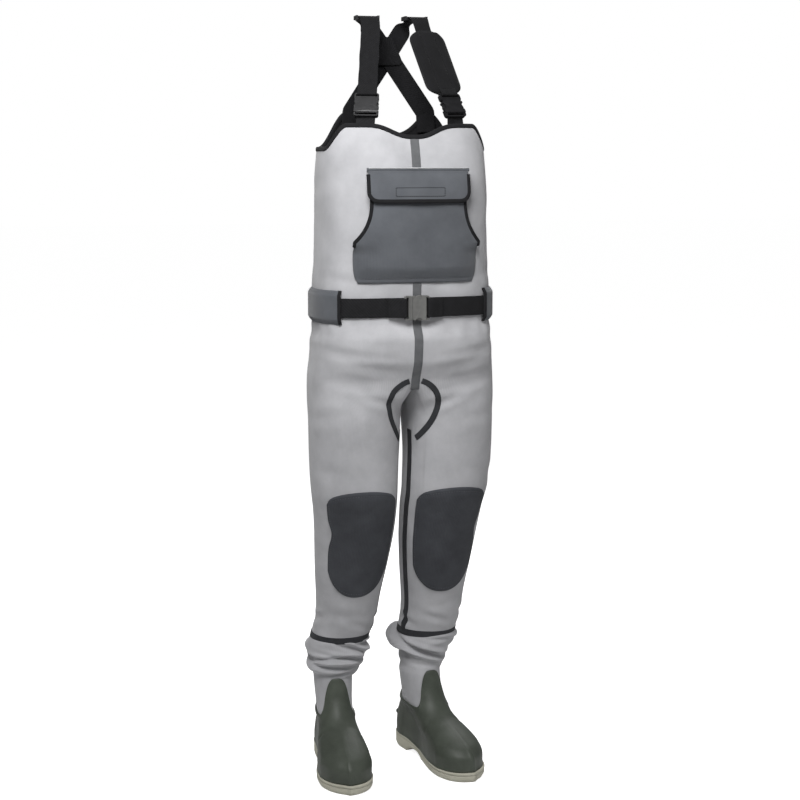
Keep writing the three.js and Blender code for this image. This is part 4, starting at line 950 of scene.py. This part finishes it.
turn_x = np.concatenate([np.full(20, -FLAP_HALF), np.linspace(-FLAP_HALF, FLAP_HALF, 121),
                         np.full(20, FLAP_HALF)])
low = flap_low_z(turn_x)
side_z = np.linspace(POCKET_TOP_Z - 4, flap_low_z(FLAP_HALF), 20)
turn_z = np.concatenate([side_z, low[20:-20], side_z[::-1]])
turn_up = (turn_z - flap_low_z(turn_x)) / (POCKET_TOP_Z - flap_low_z(turn_x))
lift = flap_belly(turn_x, turn_z, turn_up)
path = np.stack([turn_x, flap_back(turn_x, turn_z) - POCKET_THICK / 2 - lift, turn_z], -1)
path = eased(path, 6)
lofted("flap_bound_edge", strap(path, to_front(path), edge_section), black_binding, "pocket_flap",
       ["flap_binding"])

GRIP_HALF = 50
GRIP_Z = POCKET_TOP_Z - 38
GRIP_HEIGHT = 14
corner = np.array([(-1, -1), (1, -1), (1, 1), (-1, 1), (-1, -1)], float)
box = np.concatenate([np.linspace(corner[i], corner[i + 1], 30)[:-1] for i in range(4)])
box_x = box[:, 0] * GRIP_HALF
box_z = GRIP_Z + box[:, 1] * GRIP_HEIGHT * 0.6
box_up = (box_z - flap_low_z(box_x)) / (POCKET_TOP_Z + 3.0 - flap_low_z(box_x))
lift = flap_belly(box_x, box_z, box_up)
path = np.stack([box_x, flap_back(box_x, box_z) - POCKET_THICK - lift - 0.15, box_z], -1)
stitches("flap_stitching", path, to_front(path), "pocket_flap", dark_thread,
         gap=0.9, thick=1.6, closed=True)

# A light piping lies in the seam that holds the flap.
x = np.linspace(-FLAP_HALF, FLAP_HALF, 100)
z = np.full(100, POCKET_TOP_Z + FLAP_SEAM / 2 + 0.5)
path = np.stack([x, (chest_y(x, z) + flap_back(x, z) - POCKET_THICK) / 2, z], -1)
depth = np.abs(flap_back(x, z) - POCKET_THICK - chest_y(x, z))
sections = np.stack([flat_section(FLAP_SEAM - 0.5, d, 18, 3.0) for d in depth])
lofted("flap_seam_allowance", strap(path, to_front(path), sections), dark_neoprene, "suit",
       ["flap_seam"])
piping = ribbed_tape("grey_piping", "#8d8e90", "#b4b5b7", 1.6)
path = np.stack([x, flap_back(x, z) - POCKET_THICK - 0.2, z + FLAP_SEAM / 2 - 1.0], -1)
lofted("flap_piping", strap(path, to_front(path), flat_section(2.6, 2.6, 10, 2.0)), piping, "suit")

# Hook and loop: a strip of small hooks on the flap, and one of looped pile on the pouch.
hook_tape = ribbed_tape("black_hook_tape", "#0b0b0c", "#1d1d1f", 1.5, 0.6, 0.6)
x = np.linspace(-GRIP_HALF, GRIP_HALF, 50)
z = np.full(50, float(GRIP_Z))
for name, body, y, stands_for in (
    ("hook_strip", "pocket_flap", flap_back(x, z) + 0.9, "flap_hook_strip"),
    ("loop_strip", "suit", chest_y(x, z) - stand_off(x) - POCKET_THICK - 1.5, "pouch_loop_strip"),
):
    path = np.stack([x, y, z], -1)
    rings = strap(path, to_front(path), flat_section(GRIP_HEIGHT, 1.0, 12, 5.0))
    lofted(name, rings, hook_tape, body, [stands_for])

# ---------------------------------------------------------------- wading belt
# One length of 40 mm black polypropylene webbing. It runs under a neoprene loop on each side and
# ends in a grey moulded side-release buckle at the front.

WEBBING = 40
WEBBING_THICK = 2
BELT_LIFT = 2.6


def woven_webbing(name, low, high, thread_mm=2.2, rough=0.7):
    """Woven tape of twisted yarn. The weft floats in rows across, which break up in a twill, so
    the face glints in small steps. Yarns of 1 mm are drawn 2.2 mm apart so that they show."""
    made = new_material(name)
    lay = node(made, "ShaderNodeAttribute", attribute_name="lay")
    place = node(made, "ShaderNodeTexCoord")
    weft = node(made, "ShaderNodeTexWave",
                {"Vector": (lay, "Vector"), "Scale": WAVE_PERIOD / (thread_mm * METRE)},
                wave_type="BANDS", bands_direction="Y")
    twill = node(made, "ShaderNodeTexWave",
                 {"Vector": (lay, "Vector"), "Scale": WAVE_PERIOD / (1.5 * thread_mm * METRE)},
                 wave_type="BANDS", bands_direction="DIAGONAL")
    weave = node(made, "ShaderNodeMath", {0: (weft, "Fac"), 1: (twill, "Fac")}, operation="MULTIPLY")
    dust = node(made, "ShaderNodeTexNoise",
                {"Vector": (place, "Object"), "Scale": 90.0, "Detail": 5.0, "Roughness": 0.6})
    shade = node(made, "ShaderNodeMath", {0: (weave, "Value"), 1: 0.6, 2: (dust, "Fac")},
                 operation="MULTIPLY_ADD")
    return close_material(made, (shade, "Value"), low, high, (weave, "Value"), 0.5,
                          Roughness=rough, **{"Sheen Weight": 0.03, "Specular IOR Level": 0.15})


belt_webbing = woven_webbing("black_polypropylene_webbing", "#0b0b0c", "#1f1f21")


def belt_path(turns, lift, z_lift=0.0):
    mirror = np.where(turns > 90, -1, 1)
    turn = np.where(turns > 90, 180 - turns, turns)
    level = np.full(len(turn), float(BELT_Z))
    at, out = skin(torso_point, turn, level, 0.8, 2.0, np.full(len(turn), lift))
    at[:, 0] *= mirror
    out[:, 0] *= mirror
    out[:, 2] = 0
    at[:, 2] += z_lift * np.sin(np.radians(turns) * 3)
    return at, unit(out)


half_round = even_turns(160, BELT_Z)
round_turns = np.concatenate([half_round, 180 - half_round[-2:0:-1]])
belt_ends = [float(chest_angle(9.0, BELT_Z)), 180 - float(chest_angle(17.0, BELT_Z))]
inside = round_turns[(round_turns > belt_ends[0]) & (round_turns < belt_ends[1])]
path, out = belt_path(np.concatenate([belt_ends[:1], inside, belt_ends[1:]]), BELT_LIFT + 1, 0.7)
rings = strap(path, out, flat_section(WEBBING - 1, WEBBING_THICK, 18, 6.0))
lofted("belt", rings, belt_webbing, "suit",
       ["belt_webbing_left", "belt_webbing_right", "belt_webbing_back"])

LOOP_HALF = 40
LOOP_HEIGHT = 68
LOOP_THICK = 3


def loop_skin(degrees, v, lift):
    z = BELT_Z + (v - 0.5) * LOOP_HEIGHT
    over = smooth((LOOP_HEIGHT / 2 - np.abs(z - BELT_Z)) / 11)
    rise = 0.4 + over * (BELT_LIFT + WEBBING_THICK + 0.8)
    degrees, z = np.broadcast_arrays(degrees, z)
    return skin(torso_point, degrees, z, 0.8, 2.0, rise + lift)


turns = np.linspace(-LOOP_HALF, LOOP_HALF, 90)[None, :]
v = np.linspace(0, 1, 41)[:, None]
edge_room = np.minimum((LOOP_HALF - np.abs(turns)) * 2.4, np.minimum(v, 1 - v) * LOOP_HEIGHT)
thick = LOOP_THICK * (0.4 + 0.6 * np.sqrt(1 - (1 - np.clip(edge_room / 3, 0, 1)) ** 2))
for name, side in SIDES:
    outer, out = loop_skin(turns, v, thick)
    inner, _ = loop_skin(turns, v, 0.0)
    walled("belt_carrier_" + name, mirrored(outer, side), mirrored(inner, side),
           [dark_neoprene, lining], "suit", ["belt_loop_" + name])
    for end, degrees in (("front", -LOOP_HALF), ("back", LOOP_HALF)):
        v_line = np.linspace(0.0, 1.0, 50)
        path, out = loop_skin(np.full(50, float(degrees)), v_line, LOOP_THICK / 2)
        rings = strap(mirrored(path, side), mirrored(out, side),
                      flat_section(7, LOOP_THICK + 2.4, 12, 3.0))
        lofted(f"carrier_{end}_edge_{name}", rings, black_binding, "suit")
    for row, level in (("upper", 0.93), ("lower", 0.07)):
        degrees = np.linspace(-LOOP_HALF + 3, LOOP_HALF - 3, 80)
        path, out = loop_skin(degrees, np.full(80, level), LOOP_THICK + 0.1)
        stitches(f"carrier_{row}_stitching_{name}", mirrored(path, side), mirrored(out, side),
                 "suit", thread)

# ---------------------------------------------------------------- buckles
# Side-release buckles moulded in acetal: grey on the belt, black on the braces. Their edges are
# broken by the mould, so each gets a small round, and the faces have a fine spark grain.

BUCKLE_THICK = 11
SOCKET_LENGTH = 36
BASE_LENGTH = 15


def moulded_acetal(name, low, high, rough):
    """Injection-moulded acetal: a satin face with a fine spark grain, paler on convex edges."""
    made = new_material(name)
    place = node(made, "ShaderNodeTexCoord")
    form = node(made, "ShaderNodeNewGeometry")
    grain = node(made, "ShaderNodeTexNoise",
                 {"Vector": (place, "Object"), "Scale": 1400.0, "Detail": 2.0})
    worn = node(made, "ShaderNodeTexNoise",
                {"Vector": (place, "Object"), "Scale": 120.0, "Detail": 4.0})
    # The colour is made paler wherever Pointiness finds a sharp convex edge.
    pale_convex_edge = node(made, "ShaderNodeMapRange",
               {"Value": (form, "Pointiness"), "From Min": 0.5, "From Max": 0.62})
    shade = node(made, "ShaderNodeMath", {0: (worn, "Fac"), 1: 0.5, 2: (pale_convex_edge, "Result")},
                 operation="MULTIPLY_ADD")
    return close_material(made, (shade, "Value"), low, high, (grain, "Fac"), 0.08,
                          Roughness=rough, **{"Specular IOR Level": 0.25})


grey_acetal = moulded_acetal("grey_moulded_acetal", "#494948", "#767674", 0.42)
black_acetal = moulded_acetal("black_moulded_acetal", "#0a0a0b", "#262628", 0.36)


def finish_moulding(moulding, look, round_mm):
    """Gives a moulding its material and the small round that the mould leaves on its edges."""
    moulding.data.materials.clear()
    moulding.data.materials.append(look)
    moulding.modifiers.new("weld", "WELD").merge_threshold = 0.00002
    rounds = moulding.modifiers.new("rounds", "BEVEL")
    rounds.width = round_mm * METRE
    rounds.segments = 2
    rounds.limit_method = "ANGLE"
    return rounds


for prefix, look, slot in (
    ("belt", grey_acetal, "belt_buckle"),
    ("brace_left", black_acetal, "brace_hardware"),
    ("brace_right", black_acetal, "brace_hardware"),
):
    for part in ("socket", "base", "prong_a", "prong_b"):
        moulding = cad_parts[f"{prefix}_buckle_{part}"]
        finish_moulding(moulding, look, 0.5).angle_limit = math.radians(35)

# ---------------------------------------------------------------- braces
# Two black elastic braces of 39 mm. Each runs from its front buckle over the shoulder, through a
# three-bar slide, crosses the other on the back and is sewn inside the lobe on the far side.

TAB_X = 96
BUCKLE_RISE = 14
STRAIGHT = 165
CREST = np.array([51.0, 72.0, 1573.0])
CREST_STRAIGHT = 44
CROSSING = np.array([0.0, 97.0, 1500.0])
CROSSING_GAP = 3.5
BACK_TAB = np.array([-80.0, 90.0, ARMPIT_Z + BACK_RISE + 6.0])
BRACE_FRONT = unit(np.array([0.32, -1.0, 0.45]))
CREST_WAY = unit(np.array([-0.05, 1.0, -0.02]))

front_top = np.array([TAB_X, float(chest_y(TAB_X, ARMPIT_Z + BIB_RISE)) - 1,
                      ARMPIT_Z + BIB_RISE + 7.0])
crest_front = CREST - CREST_WAY * CREST_STRAIGHT / 2
crest_back = CREST + CREST_WAY * CREST_STRAIGHT / 2
lean = unit(crest_front + np.array([3.0, -26.0, -14.0]) - front_top)
mouth = front_top + lean * (BUCKLE_RISE + SOCKET_LENGTH)
facing = unit(np.cross(np.cross(lean, BRACE_FRONT), lean))
brace_start = mouth + facing * (0.6 - BUCKLE_THICK / 2 - WEBBING_THICK) + lean * 3
straight_end = brace_start + lean * (STRAIGHT - 3)


def line(a, b, count):
    share = np.linspace(0, 1, count)[:, None]
    return mix(a, b, share)


def bend(a, b, c, d, count):
    t = np.linspace(0, 1, count)[:, None]
    return (1 - t) ** 3 * a + 3 * t * (1 - t) ** 2 * b + 3 * t * t * (1 - t) * c + t**3 * d


def brace_path(side):
    cross = CROSSING + np.array([0, side * CROSSING_GAP, 0])
    down = unit(BACK_TAB - cross)
    parts = [
        line(brace_start, straight_end, 60),
        bend(straight_end, straight_end + lean * 18, crest_front - CREST_WAY * 9, crest_front, 24),
        line(crest_front, crest_back, 12),
        bend(crest_back, crest_back + CREST_WAY * 20, cross - down * 44, cross, 44),
        line(cross, BACK_TAB, 36),
        line(BACK_TAB, BACK_TAB + np.array([-2.0, -1.0, -42.0]), 16),
    ]
    path = np.concatenate([part[:-1] for part in parts[:-1]] + [parts[-1]])
    at_crest = path[:, 1] < CREST[1]
    up = smooth((path[:, 1] - straight_end[1]) / (crest_front[1] - straight_end[1]))[:, None]
    upright = np.array([0.0, 0.0, 1.0])
    front_way = mix(BRACE_FRONT, upright, up)
    back = smooth((crest_back[2] - 2 - path[:, 2]) / 26)[:, None]
    low = smooth((CROSSING[2] - 30 - path[:, 2]) / 80)[:, None]
    back_way = mix(upright, np.array([0.0, 1.0, 0.12]), back)
    back_way = mix(back_way, np.array([-0.24, 1.0, 0.0]), low)
    return path, unit(np.where(at_crest[:, None], front_way, back_way))


def along_path(path, out, at):
    """Points and facings of a path at distances along it."""
    run = np.concatenate([[0], np.cumsum(np.linalg.norm(np.diff(path, axis=0), axis=1))])

    def pick(values):
        return np.stack([np.interp(at, run, values[:, k]) for k in range(3)], -1)

    return pick(path), unit(pick(out)), run[-1]


elastic = woven_webbing("black_elastic_webbing", "#080809", "#1a1a1c", 1.8, 0.8)
for name, side in SIDES:
    path, out = brace_path(side)
    _, _, total = along_path(path, out, 0.0)
    at = np.arange(0, total, 2.0)
    path, out, _ = along_path(path, out, at)
    _, _, face = directions(path, out)
    slack = smooth((at - 24) / 30) * smooth((150 - at) / 30)
    ruffle = 0.6 * np.sin(at / 7.5) + 0.5 * np.sin(at / 12.1 + side)
    loose = slack * (side < 0)  # the brace without a pad hangs loose and ripples
    centre = path + face * (WEBBING_THICK / 2) + face * (0.8 * np.sin(at / 21) * loose)[:, None]
    widths = (WEBBING - 1 + ruffle * loose) / (WEBBING - 1)
    base = flat_section(WEBBING - 1, WEBBING_THICK, 18, 6.0)
    drawn_thin = 1 - 0.25 * smooth((path[:, 2] - 1545) / 15)  # pulled tight through the slide
    sections = np.stack([base * np.array([w, t]) for w, t in zip(widths, drawn_thin)])
    rings = strap(mirrored(centre, side), mirrored(face, side), sections)
    lofted("elastic_brace_" + name, rings, elastic, "suit", ["brace_" + name])

    # The three-bar slides are the same acetal as the buckles, with the strap threaded through.
    finish_moulding(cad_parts["adjuster_" + name], black_acetal, 0.7)

    # A webbing tab sewn inside the bib carries each socket.
    z = np.array([ARMPIT_Z, ARMPIT_Z + 20, ARMPIT_Z + BIB_RISE - 4, ARMPIT_Z + BIB_RISE + 8.0])
    tab_at, tab_out = skin(torso_point, chest_angle(TAB_X, z), z, 0.8, 2.0,
                           np.full(4, -NEOPRENE - 4.6))
    socket_foot = mouth - lean * (SOCKET_LENGTH - 4) - facing * 3
    knots = np.concatenate([tab_at, socket_foot[None]])
    outs = np.concatenate([tab_out, facing[None]])
    path, out, _ = along_path(knots, outs, np.linspace(0, 80, 40))
    path = eased(path, 8)
    rings = strap(mirrored(path, side), mirrored(out, side),
                  flat_section(WEBBING - 2, WEBBING_THICK, 18, 6.0))
    lofted("buckle_tab_" + name, rings, belt_webbing, "suit", ["bib_tab_" + name])

# ---------------------------------------------------------------- webbing turned round each bar
# At every buckle half the webbing goes through the slot, round the outer bar and back, and is
# sewn to itself.

BAR_HALF = 4.5  # half the thickness of a base at its bar


def bar_turn(name, at, along, out, bar, tail, sag, body, look):
    """Webbing from behind a bar, through the slot and over the front. along points to the tail."""
    t = np.linspace(0, np.pi, 15)
    lift = BAR_HALF + 1.3
    u_turn = np.stack([bar - 2.2 * np.sin(t), -lift * np.cos(t)], -1)
    front = np.stack([np.linspace(bar + 1, bar + tail, 20),
                      mix(lift, sag, smooth(np.linspace(0, 1, 20)))], -1)
    rear = np.stack([np.linspace(bar + tail * 0.7, bar + 1, 10), np.full(10, -lift)], -1)
    profile = np.concatenate([rear, u_turn, front])
    path = at + profile[:, :1] * along + profile[:, 1:] * out
    slope = np.gradient(profile, axis=0)
    slope /= np.linalg.norm(slope, axis=1, keepdims=True)
    normal = np.stack([slope[:, 1], -slope[:, 0]], -1)
    way = normal[:, :1] * along + normal[:, 1:] * out
    rings = strap(path, way, flat_section(WEBBING - 1.5, WEBBING_THICK - 0.2, 16, 6.0))
    lofted(name, rings, look, body)


belt_mouth = np.array([-13.0, -121 - 2.2 - WEBBING_THICK - 0.4 - BUCKLE_THICK / 2, BELT_Z])
x_axis, forward = np.array([1.0, 0, 0]), np.array([0, -1.0, 0])
bar_turn("belt_turn_base", belt_mouth, -x_axis, forward, 14.0, 34, -3.6, "belt_male", belt_webbing)
bar_turn("belt_turn_socket", belt_mouth, x_axis, forward, 34.6, 30, -3.6, "suit", belt_webbing)
for name, side in SIDES:
    bar_turn("brace_turn_base_" + name, mirrored(mouth, side), mirrored(lean, side),
             mirrored(facing, side), 14.0, 30, -3.4, f"brace_{name}_male", elastic)

# ---------------------------------------------------------------- shoulder pad
# A foam pad in black knit on the wearer's left brace, sewn through along two channels and bound
# round its edge. The brace runs under it.

PAD_WIDTH = 80
PAD_LENGTH = 146
PAD_THICK = 8
PAD_CORNER = 22
PAD_CHANNEL = 17  # how far each sewn channel lies from the middle
pad_cloth = knit_neoprene("black_spacer_knit", "#09090a", "#1a1a1c", 2.6, 0.03)
path, out = brace_path(1)
count = 74
at = BASE_LENGTH + 2 + np.linspace(0, PAD_LENGTH, count)
path, out, _ = along_path(path, out, at)
_, across, face = directions(path, out)
share = np.linspace(0, 1, count)
end = np.minimum(share * PAD_LENGTH, (1 - share) * PAD_LENGTH)
corner_share = 1 - np.clip(end / PAD_CORNER, 0, 1)
half = PAD_WIDTH / 2 - PAD_CORNER * (1 - np.sqrt(np.clip(1 - corner_share**2, 0, 1)))
side_to_side = np.linspace(-1, 1, 45)
grid_across = half[:, None] * side_to_side[None, :]
room = np.minimum(half[:, None] - np.abs(grid_across), end[:, None])
crown = PAD_THICK * (0.3 + 0.7 * np.sqrt(np.clip(1 - (1 - np.clip(room / 13, 0, 1)) ** 2, 0, 1)))
channel = 2.6 * sum(np.exp(-(((grid_across - at_channel) / 2.2) ** 2))
                    for at_channel in (PAD_CHANNEL, -PAD_CHANNEL))
bow = -2.0 * (grid_across / 40) ** 2
lumps = 0.7 * np.sin(at[:, None] / 9 + grid_across / 11)
top_lift = WEBBING_THICK + 0.6 + crown - channel * smooth(room / 10) + bow + lumps * smooth(room / 12)
base_lift = WEBBING_THICK + 0.5 + bow
spread = path[:, None] + across[:, None] * grid_across[..., None]
outer = spread + face[:, None] * top_lift[..., None]
inner = spread + face[:, None] * base_lift[..., None]
pad = walled("shoulder_pad", outer, inner, [pad_cloth], "brace_left_male",
             ["shoulder_pad_left"], round_rim=True)
for row, offset in (("a", PAD_CHANNEL), ("b", -PAD_CHANNEL)):
    lift = np.array([np.interp(offset, grid_across[k], top_lift[k]) for k in range(count)]) + 0.2
    keep = slice(7, count - 7)
    line_at = (path + across * offset + face * lift[:, None])[keep]
    stitches("pad_stitching_" + row, line_at, face[keep], "brace_left_male", dark_thread)
turn = np.concatenate([np.stack([np.arange(count), np.full(count, 44)], -1)[3:-3],
                       np.stack([np.full(43, count - 1), np.arange(43, 0, -1)], -1),
                       np.stack([np.arange(count - 1, -1, -1), np.zeros(count, int)], -1)[3:-3],
                       np.stack([np.zeros(43, int), np.arange(1, 44)], -1)])
rim = (outer + inner)[turn[:, 0], turn[:, 1]] / 2
for _ in range(10):
    rim = (np.roll(rim, 1, 0) + 2 * rim + np.roll(rim, -1, 0)) / 4
rings = strap(rim, face[turn[:, 0]], flat_section(5.5, 5.5, 12, 2.4), closed=True)
lofted("pad_bound_edge", rings, black_binding, "brace_left_male", closed=True)

# ---------------------------------------------------------------- yoke patch
# Two layers of heavy black fabric hold the braces where they cross, sewn round the edge.

YOKE = np.array([(-9, 44), (-27, 2), (-31, -8), (-24, -14), (24, -14), (31, -8), (27, 2), (9, 44)],
                float)
outline = np.concatenate([line(a, b, 13)[:-1] for a, b in zip(YOKE, np.roll(YOKE, -1, 0))])
middle = outline.mean(0)
room = np.linalg.norm(outline - middle, axis=1)[:, None]
rings = []
for shrink, lift in ((0, 0), (0, 1.1), (0.4, 1.8), (1.4, 2.2), (3.2, 2.0), (5.5, 2.3), (20, 2.4)):
    ring = middle + (outline - middle) * np.clip(1 - shrink / room, 0.02, 1)
    rings.append(np.stack([ring[:, 0], np.full(len(ring), CROSSING[1] - CROSSING_GAP - 2.2 - lift),
                           CROSSING[2] - 6 + ring[:, 1]], -1))
rings = np.array(rings)
lofted("yoke", rings, elastic, "suit", ["yoke_patch"])
stitches("yoke_stitching", rings[4], to_front(rings[4]), "suit", dark_thread, closed=True)

# ---------------------------------------------------------------- boots
# Each boot is injection-moulded in olive rubber round the sleeve, with a high tongue in front,
# deep cut-outs at both sides and a lug on the heel to press it off with.

def moulded_rubber(name, low, high, rough, grain, depth):
    """Moulded rubber: a dull satin skin with a fine grain from the mould and a bloom of wax."""
    made = new_material(name)
    place = node(made, "ShaderNodeTexCoord")
    skin_grain = node(made, "ShaderNodeTexNoise",
                      {"Vector": (place, "Object"), "Scale": 1.0 / (grain * METRE), "Detail": 3.0})
    bloom = node(made, "ShaderNodeTexNoise",
                 {"Vector": (place, "Object"), "Scale": 22.0, "Detail": 6.0, "Roughness": 0.6})
    return close_material(made, (bloom, "Fac"), low, high, (skin_grain, "Fac"), depth,
                          Roughness=rough, **{"Specular IOR Level": 0.35})


olive_rubber = moulded_rubber("olive_moulded_rubber", "#343831", "#535950", 0.5, 2.2, 0.25)
cream_rubber = moulded_rubber("cream_outsole_rubber", "#9d9b8c", "#cdcbbc", 0.7, 2.0, 0.3)
insole_felt = knit_neoprene("grey_insole_felt", "#3b3c3e", "#5c5d60", 3.0)

BOOT_COLUMNS = 144
t = np.linspace(0, 1, BOOT_COLUMNS, endpoint=False)[None, :]
v = np.linspace(0, 1, 66)[:, None] ** 0.9
foot_outline = upper_point(t, FOREFOOT_SOLE)
low = sole_top(-foot_outline[..., 1])
z = mix(low, shaft_z(t), v)
base = upper_point(t, z)
to_edge = (1 - v) * (shaft_z(t) - low)
lip = 0.9 * np.exp(-(((to_edge - 3.5) / 2.2) ** 2))
heel_gap = np.abs(((t + 0.5) % 1) - 0.5)
lug = 4.6 * np.exp(-(((z - 72) / 3.0) ** 6)) * np.exp(-((heel_gap / 0.085) ** 6))
toe_cap = 1.0 * smooth((-base[..., 1] - 232) / 5) * smooth((64 - z) / 14)
counter = 0.9 * smooth((58 + base[..., 1]) / 6) * smooth((98 - z) / 6) * smooth((z - 30) / 4)
welt = 1.6 * np.exp(-(((z - low) / 4.0) ** 2))
bend_place = 178 + 8 * np.cos(2 * np.pi * t)
bend_crease = -1.4 * np.exp(-(((-base[..., 1] - bend_place) / 4) ** 2))
bend_crease = bend_crease * smooth((z - 66) / 14) * smooth((104 - z) / 10)
relief = lip + lug + toe_cap + counter + welt + bend_crease
across = np.roll(base, -1, 1) - np.roll(base, 1, 1)
up = np.gradient(base, axis=0)
normal = unit(np.cross(up, across))
from_middle = base[..., :2] - base[..., :2].mean(1, keepdims=True)
normal = normal * np.sign((normal[..., :2] * from_middle).sum(-1).mean())
outer = base + normal * relief[..., None]
inner = upper_point(t, z, BOOT_WALL)
for name, side in SIDES:
    walled("boot_" + name, on_foot(name, outer, side), on_foot(name, inner, side), [olive_rubber],
           "suit", ["boot_upper_" + name], wrap=True, round_rim=True)

# ---------------------------------------------------------------- outsoles
# Cream rubber with a deep heel, a raised arch and a cleated forefoot, bonded under the upper.

ring_t = np.linspace(0, 1, BOOT_COLUMNS, endpoint=False)


def arch_z(along):
    return 12 * np.sqrt(np.clip(1 - ((along - 105) / 32.0) ** 2, 0, 1))


def sole_ring(grow, height, pull=1.0):
    x, y, along = sole_point(ring_t, grow)
    at = np.clip(-y, 0, BOOT_LENGTH)
    return np.stack([x * pull, y, height(at)], -1)


def cleat_z(at):
    return arch_z(at) + 3.0 * (smooth(np.sin(at / 4.1) * 3 - 0.6) * (arch_z(at) <= 0.01))


rings = np.array(
    [sole_ring(-9.0, cleat_z, p) for p in (0.02, 0.3, 0.55, 0.8, 1.0)]
    + [sole_ring(-2.0, arch_z), sole_ring(0.0, lambda a: arch_z(a) + 1.4)]
    + [sole_ring(1.6, lambda a: np.maximum(arch_z(a), 2) + 2.4)]
    + [sole_ring(2.4, lambda a, s=s: mix(np.maximum(arch_z(a), 3) + 3, sole_top(a) - 7, s))
       for s in (0, 0.33, 0.66, 1)]
    + [sole_ring(1.4, lambda a: sole_top(a) - 6), sole_ring(1.4, lambda a: sole_top(a) - 5)]
    + [sole_ring(3.0, lambda a: sole_top(a) - 4), sole_ring(3.2, lambda a: sole_top(a) - 1.2)]
    + [sole_ring(2.4, lambda a: sole_top(a)), sole_ring(-2.0, lambda a: sole_top(a) + 0.2)]
    + [sole_ring(-8.0, sole_top, p) for p in (1.0, 0.02)]
)
for name, side in SIDES:
    lofted("sole_" + name, on_foot(name, rings, side), cream_rubber, "suit",
           ["outsole_" + name])
    felt = []
    for lift in (0.6, 5.6):
        for pull in (0.02, 0.5, 1.0) if lift < 1 else (1.0, 0.5, 0.02):
            at = upper_point(ring_t, FOREFOOT_SOLE, BOOT_WALL + 3)
            at[:, 0] *= pull
            at[:, 2] = sole_top(-at[:, 1]) + lift
            felt.append(at)
    lofted("footbed_" + name, on_foot(name, np.array(felt), side), insole_felt, "suit",
           ["insole_" + name])

# ---------------------------------------------------------------- studio
# A pale floor, a large soft light high in front and weaker ones behind, and the camera.

FLOOR = 30.0  # metres, half the floor's side
floor_mesh = bpy.data.meshes.new("floor")
floor_corners = [(-FLOOR, -FLOOR, 0), (FLOOR, -FLOOR, 0), (FLOOR, FLOOR, 0), (-FLOOR, FLOOR, 0)]
floor_mesh.from_pydata(floor_corners, [], [(0, 1, 2, 3)])
floor = bpy.data.objects.new("floor", floor_mesh)
floor.location.z = -0.0005
bpy.context.scene.collection.objects.link(floor)
paper = new_material("white_paper")
view_path = node(paper, "ShaderNodeLightPath")
glow = node(paper, "ShaderNodeEmission", {"Strength": (view_path, "Is Camera Ray")})
glow.inputs["Color"].default_value = (0.85, 0.85, 0.85, 1)
matt = node(paper, "ShaderNodeBsdfDiffuse", {"Color": (0.86, 0.86, 0.86, 1)})
both = node(paper, "ShaderNodeAddShader", {0: (glow, "Emission"), 1: (matt, "BSDF")})
node(paper, "ShaderNodeOutputMaterial", {"Surface": (both, "Shader")})
floor_mesh.materials.append(paper)

world = bpy.data.worlds.new("white_room")
bpy.context.scene.world = world
world.use_nodes = True
world.node_tree.nodes.clear()
seen = node(world, "ShaderNodeLightPath")
strength = node(world, "ShaderNodeMapRange",
                {"Value": (seen, "Is Camera Ray"), "To Min": 0.17, "To Max": 1.0})
sky = node(world, "ShaderNodeBackground", {"Color": (1, 1, 1, 1), "Strength": (strength, "Result")})
node(world, "ShaderNodeOutputWorld", {"Surface": (sky, "Background")})


def soft_light(name, at, aim, size, watts):
    data = bpy.data.lights.new(name, "AREA")
    data.shape = "DISK"
    data.size = size
    data.energy = watts
    light = bpy.data.objects.new(name, data)
    light.location = at
    light.rotation_euler = (Vector(aim) - Vector(at)).to_track_quat("-Z", "Y").to_euler()
    light.visible_camera = False
    bpy.context.scene.collection.objects.link(light)


soft_light("key", (-0.55, -1.15, 2.15), (0, 0, 1.2), 0.9, 37)
soft_light("front_fill", (1.2, -2.6, 1.2), (0, 0, 0.8), 1.6, 5)
soft_light("back_fill", (0.9, 2.4, 2.2), (0, 0, 1.0), 1.6, 40)

camera_data = bpy.data.cameras.new("camera")
camera_data.lens = 76.5
camera_data.sensor_width = 36
camera = bpy.data.objects.new("camera", camera_data)
bpy.context.scene.collection.objects.link(camera)
camera.location = (-0.965, -3.379, 1.29)
AZIMUTH, PITCH = math.radians(16), math.radians(8.1)
level = math.cos(PITCH)
look = Vector((math.sin(AZIMUTH) * level, math.cos(AZIMUTH) * level, -math.sin(PITCH)))
camera.rotation_euler = look.to_track_quat("-Z", "Y").to_euler()
bpy.context.scene.camera = camera
bpy.context.scene.view_settings.view_transform = "Standard"
